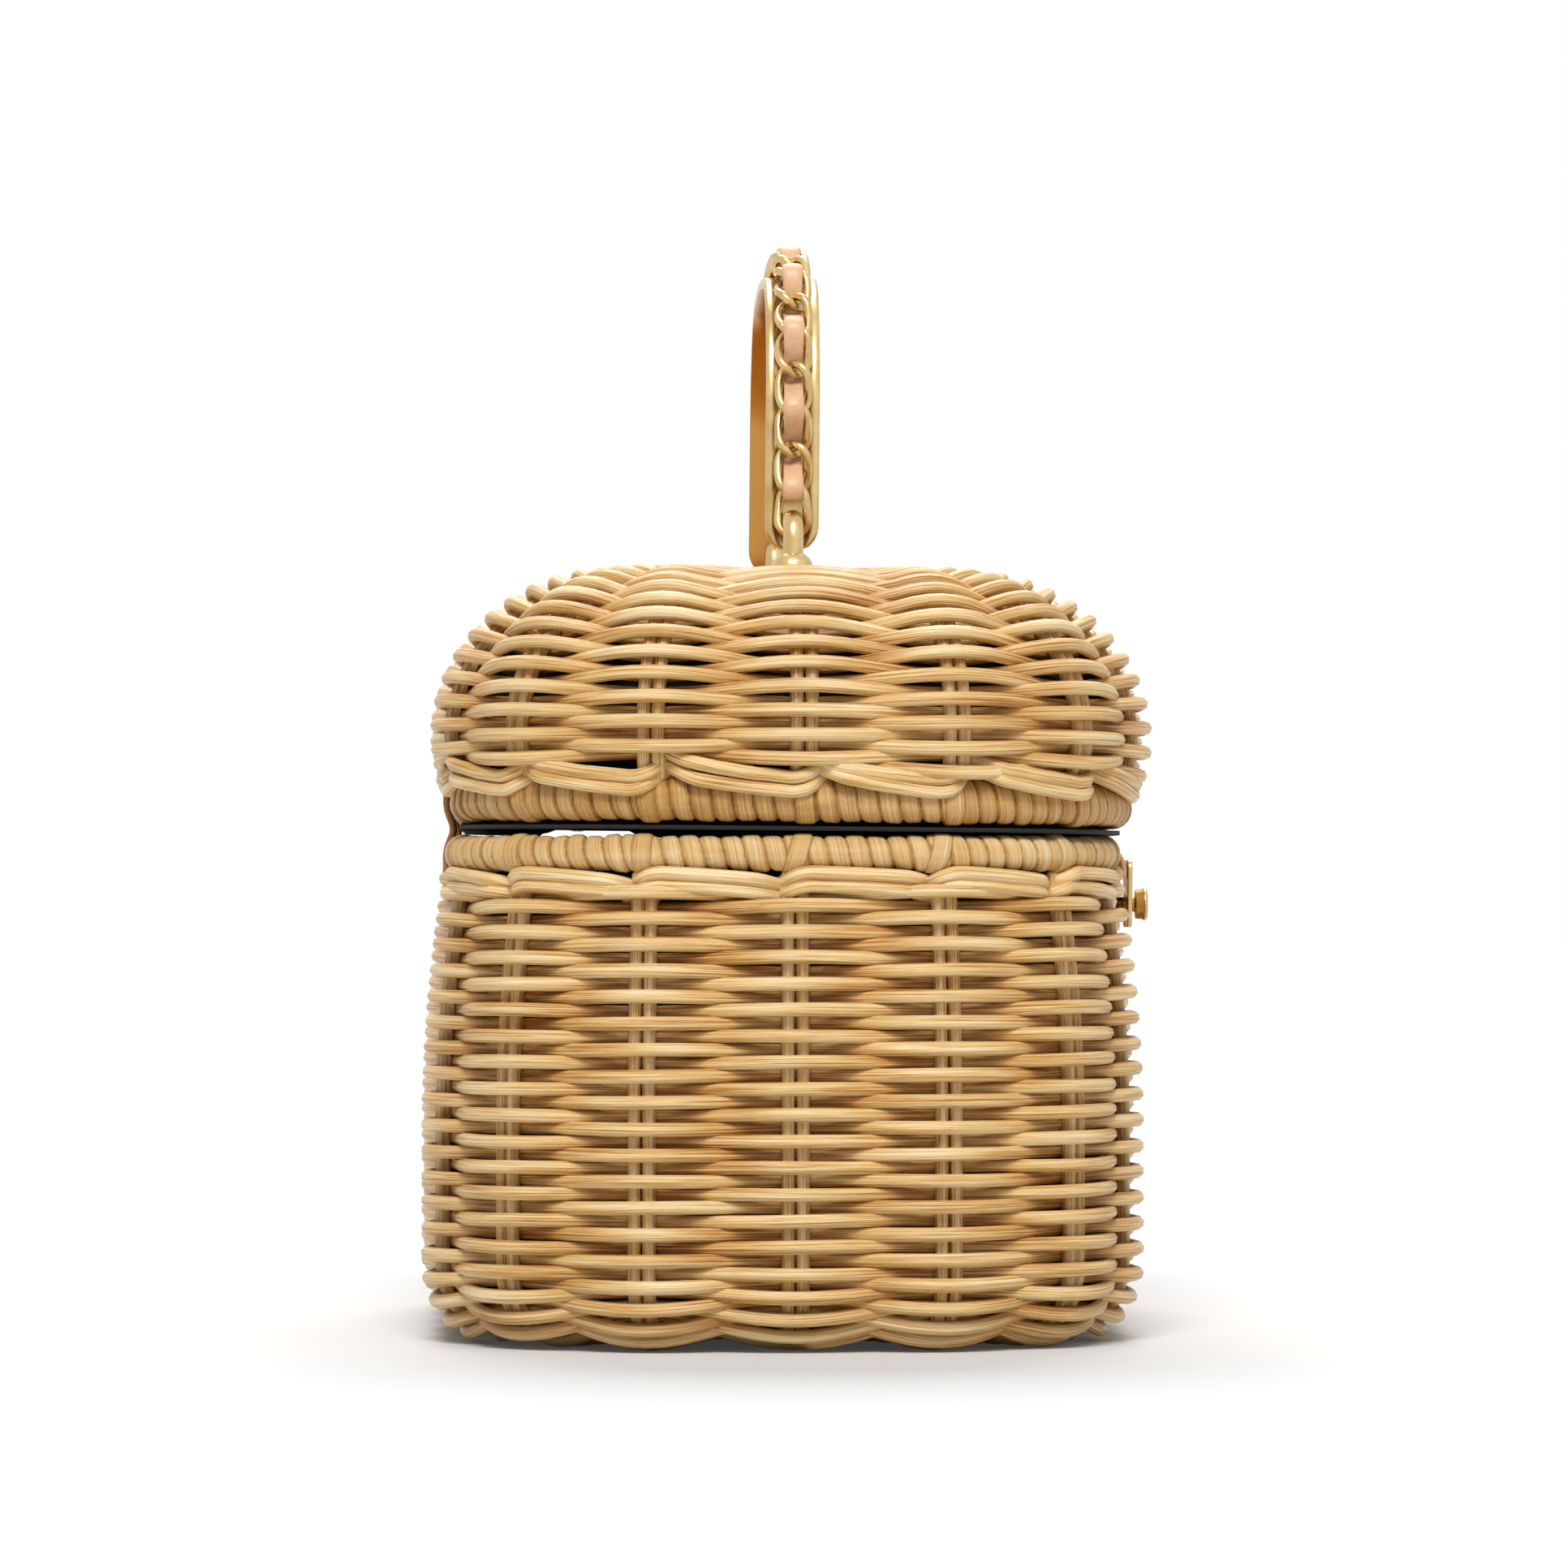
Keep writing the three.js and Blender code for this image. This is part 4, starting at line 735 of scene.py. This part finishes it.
# Cane-wrapped rims, with a seat for each hinge strap
def wrapped_rim(name, inset, height, above, place):
    """Flat cane wound round the rim in low leaning ridges, with a tie over it at each pair of stakes."""
    turns = int(ROUND / WRAP_WIDTH)
    lift = [CHANCE.uniform(-0.18, 0.18) * MM for _ in range(turns)]
    lean = [CHANCE.uniform(-0.25, 0.35) * MM for _ in range(turns)]
    tie_at = [CHANCE.uniform(-1.5, 1.5) * MM for _ in range(STAKE_PAIRS)]
    tie_lean = [CHANCE.uniform(-1.2, 1.2) * MM for _ in range(STAKE_PAIRS)]

    def spot(along, turn):
        walked = along * ROUND
        angle = 2 * math.pi * (turn + 0.5)
        number = along * turns + turn
        index = int(number) % turns
        across = 2 * (number % 1) - 1
        # The groove between turns, and the edge of each tie, is cut in and its recess is also darkened by the
        # cane material as painted shade
        recess = abs(across) ** GROOVE_POWER
        radius = RIM_RADIUS + lift[index] + lean[index] * across / 2 - WRAP_GROOVE * recess
        # Each turn, and each tie, takes its grain from another place
        grain = (index * 0.37 + turn * 0.02, across, index * 1.7)
        pair = round((walked - FIRST_STAKE) / SPACING)
        from_tie = walked - FIRST_STAKE - pair * SPACING - tie_at[pair % STAKE_PAIRS]
        from_tie -= tie_lean[pair % STAKE_PAIRS] * math.sin(angle)
        beside = abs(from_tie) / TIE_HALF
        if beside < 1:
            recess = beside ** GROOVE_POWER
            radius = RIM_RADIUS + TIE_LIFT - TIE_GROOVE * recess
            grain = (pair * 0.61 + turn * 0.02, from_tie / TIE_HALF, pair * 2.3)
        seat = STRAP_SEAT * beside_strap(walked) * max(math.cos(angle), 0)
        radius = min(radius, RIM_RADIUS + TIE_LIFT - seat)
        point = plan_at(walked, inset - radius * math.cos(angle))
        rise = radius * math.sin(angle) + above * (1 - beside_strap(walked)) * max(math.sin(angle), 0)
        return Vector((point.x, point.y, height + rise)), grain, recess

    return swept(name, turns * WRAP_STEPS, WRAP_SIDES, spot, place, closed=True)


settle(wrapped_rim("body_rim_wrap", BODY_RIM_INSET, BODY_RIM_Z, 0, LEVEL), "case", CANE, "cane", "body_rim")
# The lid's rim takes the darkened cane, its painted shade
settle(
    wrapped_rim("lid_rim_wrap", LID_RIM_INSET, LID_RIM_Z, LID_RIM_ABOVE, LID_PLACE),
    "lid", SHADED_CANE, "cane", "lid_rim",
)


# Handle
def arch_at(walked, height):
    """Point and lean of the handle's arch at a distance walked from its crown, above the band's face."""
    side = -1 if walked < 0 else 1
    length = abs(walked)
    crown = (CROWN_RADIUS + height) * CROWN_SLOPE
    bend = (BEND_RADIUS + height) * (math.pi / 2 - CROWN_SLOPE)
    if length <= crown:
        radius = CROWN_RADIUS + height
        angle = length / radius
        x = radius * math.sin(angle)
        return Vector((side * x, 0, CROWN_CENTRE_Z + radius * math.cos(angle))), side * angle
    if length <= crown + bend:
        radius = BEND_RADIUS + height
        angle = CROWN_SLOPE + (length - crown) / radius
        x = LEG_X - BEND_RADIUS + radius * math.sin(angle)
        return Vector((side * x, 0, BEND_Z + radius * math.cos(angle))), side * angle
    return Vector((side * (LEG_X + height), 0, BEND_Z - (length - crown - bend))), side * math.pi / 2


def arch_half(height):
    bend = (BEND_RADIUS + height) * (math.pi / 2 - CROWN_SLOPE)
    return (CROWN_RADIUS + height) * CROWN_SLOPE + bend + HANDLE_LEG


def arch_point(walked, height, across, above):
    point, angle = arch_at(walked, height)
    return point + Vector((above * math.sin(angle), across, above * math.cos(angle)))


def handle_band():
    """Brass band with a wide, softly raised margin along each edge and round feet."""
    rail = 3.0 * MM
    rise = 0.6 * MM
    margin = [(0.0, 0.1), (0.05, 0.55), (0.16, 0.88), (0.32, 1.0), (0.55, 0.92), (0.78, 0.5), (1.0, 0.0)]
    right = [(1, -inward * rail, up * rise) for inward, up in margin]
    left = [(-1, inward * rail, up * rise) for inward, up in reversed(margin)]
    outline = [(-1, 0, -BAND_THICKNESS), (1, 0, -BAND_THICKNESS)] + right + left
    half = arch_half(0) + FOOT_REACH
    reach = half + BAND_HALF

    def spot(along, turn):
        walked = reach * (2 * along - 1)
        past = min(max(abs(walked) - half, 0) / BAND_HALF, 0.999)
        narrow = math.sqrt(1 - past * past)
        side, inset, above = outline[round(turn * len(outline)) % len(outline)]
        across = (side * BAND_HALF + inset) * narrow
        # The inner face gets recess 1, which the brass paints amber as painted reflection and shade
        inner = 1.0 if above < 0 else 0.0
        return arch_point(walked, 0, across, above), (walked, across / MM, above / MM), inner

    band = swept("handle_band_brass", 160, len(outline), spot, LID_PLACE)
    soften(band, 0.25 * MM)
    return band


settle(handle_band(), "handle", BRASS, "brass", "handle_band")

LINK_PITCH = (arch_half(CHAIN_HEIGHT) + 2.8 * MM - LINK_HOOK / 2) / (LINK_COUNT / 2)
LINK_LENGTH = LINK_PITCH + LINK_HOOK


def link_line(start_roll, end_roll, steps=40):
    """Round-ended loop of wire that rolls over from one end to the other."""
    straight = LINK_LENGTH - 2 * LINK_HALF
    half = straight + math.pi * LINK_HALF
    line = []
    for i in range(steps):
        walked = 2 * half * i / steps
        flip = 1 if walked < half else -1
        local = walked % half
        along, across = local - straight / 2, LINK_HALF
        if local > straight:
            angle = (local - straight) / LINK_HALF
            along = straight / 2 + LINK_HALF * math.sin(angle)
            across = LINK_HALF * math.cos(angle)
        along, across = along * flip, across * flip
        roll = start_roll + (end_roll - start_roll) * (along / LINK_LENGTH + 0.5)
        line.append(Vector((along, across * math.cos(roll), across * math.sin(roll))))
    return line


def chain_link(number):
    roll = math.radians(45)
    loop = link_line(0 if number == 1 else roll, 0 if number == LINK_COUNT else -roll)
    point, angle = arch_at((number - (LINK_COUNT + 1) / 2) * LINK_PITCH, CHAIN_HEIGHT)
    turn = Matrix.Translation(point) @ Matrix.Rotation(angle, 4, "Y")
    line = [(*(turn @ p), 1.0) for p in loop]
    link = tube(f"link_{number:02d}", [line], LINK_WIRE, 10, True, LID_PLACE)
    settle(link, "handle", BRASS, "brass", f"chain_link_{number:02d}")


for link_number in range(1, LINK_COUNT + 1):
    chain_link(link_number)


def flat_ring(count, side_power, face_power):
    """Outline of a flat strip with worn round edges, reaching from -1 to 1 both ways."""
    ring = []
    for k in range(count):
        turn = 2 * math.pi * k / count
        c, s = math.cos(turn), math.sin(turn)
        ring.append((math.copysign(abs(c) ** side_power, c), math.copysign(abs(s) ** face_power, s)))
    return ring


LACE_SIDES = 14
LACE_STEPS = 420


def leather_lace():
    """Flat leather strip laced over one joint of the chain and under the next, with round edges."""
    half = 2.15 * MM
    thick = 0.5 * MM
    wave = 2.95 * MM
    reach = arch_half(CHAIN_HEIGHT) - 4 * MM
    ring = flat_ring(LACE_SIDES, 0.6, 0.5)

    def spot(along, turn):
        walked = reach * (2 * along - 1)
        phase = math.pi * walked / LINK_PITCH
        rise = wave * math.cos(phase)
        across, up = ring[round(turn * LACE_SIDES) % LACE_SIDES]
        droop = -0.4 * MM * across * across * math.cos(phase)
        width = half * (1 - 0.12 * abs(math.sin(phase)))
        lean = math.atan(-wave * math.pi / LINK_PITCH * math.sin(phase))
        above = rise + droop + up * thick * math.cos(lean)
        shifted = walked - up * thick * math.sin(lean)
        point = arch_point(shifted, CHAIN_HEIGHT, across * width, above)
        return point, (walked, across, up), 0.0

    return swept("leather_lace_strip", LACE_STEPS, LACE_SIDES, spot, LID_PLACE)


settle(leather_lace(), "handle", PALE_LEATHER, "pale_leather", "leather_lace")


def staple(side, number):
    inner, outer = LEG_X - STAPLE_INSIDE, LEG_X + STAPLE_OUTSIDE
    foot = LID_TOP - 8.8 * MM
    low_bend = PIVOT_Z - STAPLE_BEND
    corners = [(inner, foot), (inner, low_bend)]
    for i in range(1, 8):
        turn = math.pi / 2 * i / 8
        corners.append((inner + STAPLE_BEND * (1 - math.cos(turn)), low_bend + STAPLE_BEND * math.sin(turn)))
    for i in range(0, 9):
        turn = math.pi / 2 * i / 8
        corners.append((outer - STAPLE_BEND * (1 - math.sin(turn)), low_bend + STAPLE_BEND * math.cos(turn)))
    corners.append((outer, foot))
    line = rounded([Vector((side * x, 0, z)) for x, z in corners], STAPLE_RADIUS)
    piece = tube(f"staple_{number}", [line], STAPLE_RADIUS, 16, place=LID_PLACE)
    settle(piece, "lid", BRASS, "brass", f"handle_staple_{number}")


def bell(x, number):
    bore = STAPLE_RADIUS / MM
    profile = [
        (bore, -2.4), (3.75, -2.4), (3.85, -0.2), (3.7, 0.5), (3.4, 1.1), (2.95, 1.65), (2.5, 2.05),
        (2.3, 2.2), (bore, 2.25),
    ]
    profile = [(r * MM, h * MM) for r, h in profile]
    piece = turned(f"bell_{number}", profile, (x, 0, crown_height(x, 0)), (0, 0, 1), LID_PLACE)
    settle(piece, "lid", BRASS, "brass", f"staple_bell_{number}")


for staple_side, staple_number in ((-1, 1), (1, 2)):
    staple(staple_side, staple_number)
    legs = (LEG_X - STAPLE_INSIDE, LEG_X + STAPLE_OUTSIDE)
    for leg_index, leg in enumerate(legs):
        bell(staple_side * leg, 2 * staple_number - 1 + leg_index)


# Linings
def lining(name, section, hem, place, node, body):
    """Cloth bag from its hem behind the rim, stretched inside the weave and closed along the middle."""

    def spot(along, across):
        walked = along * ROUND
        point = wall_point(section, walked, across * section.length + (1 - across) ** 6 * hem(walked), 0)
        return point, (along, across, 0), 0.0

    piece = swept(name, 240, 60, spot, place, caps=False)
    skin = piece.modifiers.new("cloth", "SOLIDIFY")
    skin.thickness = LINING_THICK
    skin.offset = 0
    settle(piece, body, LINING, "lining", node)


# The lid's lining comes out under its rim. Its hem is drawn up at the far back corner and clear of the tab
LID_HEM = LID_RIM_Z - RIM_RADIUS - 1.15 * MM
HEM_REACH = 6.5 * MM
# Where the hem rises and falls again, as shares of the corner's arc
HEM_RISES = 0.06
HEM_FALLS = 0.5
HEM_EASE = 0.1
TAB_WIDE = 16 * MM
BODY_HEM = BODY_RIM_Z + 2.2 * MM
BODY_LINING_TOP = BODY_HEIGHT - 2.3 * MM
LID_LINING_LOW = LID_EDGE + 2 * MM


def lid_hem(walked):
    corner = walked % ROUND / CORNER_ARC
    drawn_up = smooth((corner - HEM_RISES) / HEM_EASE) * (1 - smooth((corner - HEM_FALLS) / HEM_EASE))
    from_tab = abs((walked - FRONT_MIDDLE + ROUND / 2) % ROUND - ROUND / 2)
    beside_tab = 1 - smooth((from_tab - TAB_WIDE / 2 - MM) / (2 * MM))
    behind = max(beside_strap(walked), beside_tab)
    return drawn_up * (HEM_REACH + 0.95 * MM) + behind * (LID_LINING_LOW - LID_HEM + HEM_REACH)


def body_hem(walked):
    return beside_strap(walked) * (BODY_HEM - BODY_LINING_TOP)


body_top = [(BODY_RIM_INSET + RIM_RADIUS + 0.9 * MM, BODY_HEM)]
body_cloth = body_top + body_section(BODY_LINING, BODY_HEIGHT)[::-1] + [(HALF_DEPTH, BODY_LINING)]
lining("body_lining_cloth", Section(body_cloth), body_hem, LEVEL, "body_lining", "case")
lid_low = [(LID_RIM_INSET - 1.5 * MM, LID_HEM), (LID_RIM_INSET + 5 * MM, LID_HEM)]
lid_cloth = lid_low + lid_section(LID_LINING, LID_EDGE) + [(HALF_DEPTH, LID_TOP + CROWN_RISE - LID_LINING)]
lid_line = Section(lid_cloth, LID_LINING)
lining("lid_lining_cloth", lid_line, lid_hem, LID_PLACE, "lid_lining", "lid")


# Leather straps and tab
def eased(points, reach, steps=6):
    """A path with each corner rounded off within a reach."""
    path = [Vector(points[0])]
    for before, corner, after in zip(points, points[1:], points[2:]):
        corner = Vector(corner)
        start = corner + (Vector(before) - corner).normalized() * reach
        end = corner + (Vector(after) - corner).normalized() * reach
        for i in range(steps + 1):
            t = i / steps
            path.append(start.lerp(corner, t).lerp(corner.lerp(end, t), t))
    return path + [Vector(points[-1])]


def refined(path, longest):
    """The path with extra points wherever two lie further apart than longest."""
    made = [path[0]]
    for a, b in zip(path, path[1:]):
        count = max(1, math.ceil((b - a).length / longest))
        made += [a.lerp(b, i / count) for i in range(1, count + 1)]
    return made


STRAP_SIDES = 20


def strap(name, path, width, thickness):
    """A flat leather strip along a path in the plane across the case, with worn round edges."""
    path = refined(path, 1.2 * MM)
    ring = flat_ring(STRAP_SIDES, 0.25, 0.5)

    def spot(along, turn):
        i = round(along * (len(path) - 1))
        way = path[min(i + 1, len(path) - 1)] - path[max(i - 1, 0)]
        side = Vector((1, 0, 0))
        up = side.cross(way).normalized()
        across, lift = ring[round(turn * STRAP_SIDES) % STRAP_SIDES]
        point = path[i] + side * (across * width / 2) + up * (lift * thickness / 2)
        return point, (along, across, lift), 0.0

    return swept(name, len(path) - 1, STRAP_SIDES, spot)


STRAP_THICK = 2 * (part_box("hinge_strap_lower_1")[1].y - HINGE.y)
STRAP_SNUG = 1.1 * MM
STRAP_DIP = 1.6 * MM
LOW_RUN = BODY_HEIGHT - 1.0 * MM
HIGH_RUN = LID_EDGE + 1.0 * MM
LOW_TAIL = BODY_LINING_TOP - 12 * MM
HIGH_TAIL = LID_LINING_LOW + 12 * MM


def low_tail_y(z):
    return HALF_DEPTH - belly_inset(z) - BODY_LINING - LINING_THICK - 0.3 * MM - STRAP_THICK / 2


HIGH_TAIL_Y = HALF_DEPTH - LID_LINING - LID_SKIRT_INSET - LINING_THICK - 0.6 * MM - STRAP_THICK / 2
rivet_profile = [
    (0, 1.0), (1.5, 0.95), (2.2, 0.6), (2.4, 0.1), (2.4, 0), (1.2, 0), (1.2, -2.6), (0, -2.6),
]
RIVET = [(r * MM, h * MM) for r, h in rivet_profile]


def hinge_strap(x, number):
    outside = HINGE.y - STRAP_SNUG
    lower = [
        (low_tail_y(LOW_TAIL), LOW_TAIL), (low_tail_y(LOW_RUN), LOW_RUN), (outside, LOW_RUN),
        (outside, BODY_RIM_Z + MM), (outside - STRAP_DIP, HINGE.z),
    ]
    lower = [Vector((x, y, z)) for y, z in lower]
    upper = [
        (outside + LID_FORWARD, LID_RIM_Z - MM), (outside + LID_FORWARD, HIGH_RUN), (HIGH_TAIL_Y, HIGH_RUN),
        (HIGH_TAIL_Y, HIGH_TAIL),
    ]
    upper = [LID_PLACE @ Vector((x, y, z)) for y, z in upper]
    piece = strap(f"hinge_strap_{number}", eased(lower + upper, 1.6 * MM), STRAP_WIDE, STRAP_THICK)
    nodes = (f"hinge_strap_lower_{number}", f"hinge_strap_upper_{number}")
    settle(piece, None, TAN_LEATHER, "tan_leather", *nodes)
    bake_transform(piece)
    low_z = BODY_LINING_TOP - 6 * MM
    low = (x, low_tail_y(low_z) - STRAP_THICK / 2, low_z)
    head = turned(f"rivet_lower_{number}", RIVET, low, (0, -1, 0), segments=32)
    settle(head, "case", BRASS, "brass", f"hinge_rivet_lower_{number}")
    high = (x, HIGH_TAIL_Y - STRAP_THICK / 2, LID_LINING_LOW + 6 * MM)
    head = turned(f"rivet_upper_{number}", RIVET, high, (0, -1, 0), LID_PLACE, 32)
    settle(head, "lid", BRASS, "brass", f"hinge_rivet_upper_{number}")


hinge_strap(-STRAP_X, 1)
hinge_strap(STRAP_X, 2)


# Clasp
KNOB = Vector(next(j for j in frame["joints"] if j["name"] == "knob_turn")["pos_m"])
KNOB_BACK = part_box("clasp_fork")[0].y - 0.9 * MM
CLASP_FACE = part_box("clasp_base")[1].y
knob_profile = [
    (0, 2.55), (1.6, 2.5), (2.85, 2.42), (3.15, 2.25), (3.3, 1.95), (3.22, 1.6), (2.98, 1.35), (2.93, 0.25),
    (2.7, 0), (1.7, 0), (1.5, -0.3), (1.5, -9.5), (0, -9.5),
]
settle(
    turned("knob", [(r * MM, h * MM) for r, h in knob_profile], (0, KNOB_BACK, KNOB.z), (0, -1, 0)),
    "clasp_knob", BRASS, "brass", "clasp_knob",
)
base_profile = [(1.8, 0), (5, 0), (5, 0.7), (4.85, 1.05), (4.2, 1.5), (3.9, 1.6), (1.8, 1.6), (1.8, 0)]
settle(
    turned("knob_base", [(r * MM, h * MM) for r, h in base_profile], (0, CLASP_FACE, KNOB.z), (0, -1, 0)),
    "case", BRASS, "brass", "clasp_base",
)
TAB_THICK = 1.2 * MM
TAB_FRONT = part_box("clasp_tab")[0]
TAB_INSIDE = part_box("clasp_tab")[1]
tab_y = TAB_FRONT.y + TAB_THICK / 2
under_rim = TAB_INSIDE.z - TAB_THICK
tab_path = [
    (TAB_INSIDE.y, under_rim), (tab_y + 5 * MM, under_rim - 0.2 * MM), (tab_y, under_rim - 4.4 * MM),
    (tab_y, TAB_FRONT.z),
]
settle(
    strap("tab", eased([Vector((0, y, z)) for y, z in tab_path], 2.4 * MM), TAB_WIDE, TAB_THICK),
    "lid", PALE_LEATHER, "pale_leather", "clasp_tab",
)


def arc(x, z, radius, start, end, steps=8):
    angles = [math.radians(start + (end - start) * i / steps) for i in range(steps + 1)]
    return [(x + radius * math.cos(a), z + radius * math.sin(a)) for a in angles]


def fork():
    """Brass plate at the tab's end with round corners and a slot that straddles the knob's shank."""
    low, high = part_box("clasp_fork")
    corner, slot = 1.8 * MM, 1.9 * MM
    side, floor, top = high.x - corner, low.z + corner, high.z - corner
    outline = [(slot, low.z)] + arc(side, floor, corner, -90, 0) + arc(side, top, corner, 0, 90)
    outline += arc(-side, top, corner, 90, 180) + arc(-side, floor, corner, 180, 270)
    outline += [(-slot, low.z)] + arc(0, KNOB.z, slot, 180, 0)
    lean = math.tan(LID_TILT)
    bm = bmesh.new()
    face = bm.faces.new([bm.verts.new((x, high.y - (z - low.z) * lean, z)) for x, z in outline])
    made = bmesh.ops.extrude_face_region(bm, geom=[face])["geom"]
    thickness = high.y - low.y - (high.z - low.z) * lean
    front = [item for item in made if isinstance(item, bmesh.types.BMVert)]
    bmesh.ops.translate(bm, vec=(0, -thickness, 0), verts=front)
    bmesh.ops.recalc_face_normals(bm, faces=bm.faces)
    mesh = bpy.data.meshes.new("tab_fork")
    bm.to_mesh(mesh)
    bm.free()
    piece = add_object("tab_fork", mesh)
    soften(piece, 0.25 * MM, 3)
    return piece


settle(fork(), "lid", BRASS, "brass", "clasp_fork")

# Small brass plates inside the walls, whose CAD shape is right, keep it
for kept in ("clasp_backplate", "staple_plate_1", "staple_plate_2"):
    frame["nodes"][kept].material_slots[0].material = BRASS


# Camera, floor and light
SENSOR_WIDTH = 36


def look_from(place, aim, lens):
    camera = bpy.data.objects.new("camera", bpy.data.cameras.new("camera"))
    camera.data.lens = lens
    camera.data.sensor_width = SENSOR_WIDTH
    camera.data.clip_end = 100
    camera.location = place
    camera.rotation_euler = (Vector(aim) - Vector(place)).to_track_quat("-Z", "Y").to_euler()
    bpy.context.scene.collection.objects.link(camera)
    bpy.context.scene.camera = camera


CAMERA_PLACE = (-1512.3 * MM, 47.6 * MM, 85.8 * MM)
CAMERA_AIM = (-13.0 * MM, -1.9 * MM, 108.0 * MM)
PHOTO_WIDTH = 1932
FOCAL_PIXELS = 9267
look_from(CAMERA_PLACE, CAMERA_AIM, SENSOR_WIDTH * FOCAL_PIXELS / PHOTO_WIDTH)


def soft_sun(name, place, strength, spread):
    """Light from a wide soft source in the direction of a place."""
    lamp = bpy.data.lights.new(name, "SUN")
    lamp.angle = math.radians(spread)
    lamp.energy = strength
    piece = bpy.data.objects.new(name, lamp)
    piece.rotation_euler = (-Vector(place)).to_track_quat("-Z", "Y").to_euler()
    bpy.context.scene.collection.objects.link(piece)


def seen_directly(tree):
    """1 for what the camera sees itself, mirrored or through glass."""
    path = add_node(tree, "ShaderNodeLightPath").outputs
    seen = math_node(tree, "MAXIMUM", path["Is Camera Ray"], path["Is Glossy Ray"])
    return math_node(tree, "MAXIMUM", seen, path["Is Transmission Ray"])


WORLD_LIGHT = 0.2
FLOOR_GREY = (0.7, 0.7, 0.7, 1)
FLOOR_GLOW = 0.04
FLOOR_SIZE = 12


def studio():
    world = bpy.data.worlds.new("studio")
    bpy.context.scene.world = world
    world.use_nodes = True
    tree = world.node_tree
    back = tree.nodes["Background"]
    back.inputs["Color"].default_value = (1, 1, 1, 1)
    strength = ranged(tree, seen_directly(tree), (0, 1), (WORLD_LIGHT, 1))
    tree.links.new(strength, back.inputs["Strength"])
    bm = bmesh.new()
    bmesh.ops.create_grid(bm, x_segments=1, y_segments=1, size=FLOOR_SIZE)
    mesh = bpy.data.meshes.new("floor")
    bm.to_mesh(mesh)
    bm.free()
    floor = add_object("floor", mesh)
    floor.location.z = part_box("base_weave")[0].z
    material, tree, shader = new_material("white_paper_floor")
    shader.inputs["Base Color"].default_value = FLOOR_GREY
    shader.inputs["Roughness"].default_value = 0.9
    shader.inputs["Specular IOR Level"].default_value = 0.1
    shader.inputs["Emission Color"].default_value = (1, 1, 1, 1)
    glow = math_node(tree, "MULTIPLY", seen_directly(tree), FLOOR_GLOW)
    tree.links.new(glow, shader.inputs["Emission Strength"])
    mesh.materials.append(material)
    soft_sun("top", (0.75, 0.0, 1.0), strength=2.2, spread=36)
    soft_sun("key", (-1.0, 0.08, 1.1), strength=2.5, spread=26)
    soft_sun("fill", (-1.0, -0.6, 0.9), strength=0.3, spread=80)
    bpy.context.scene.view_settings.view_transform = "Standard"


studio()
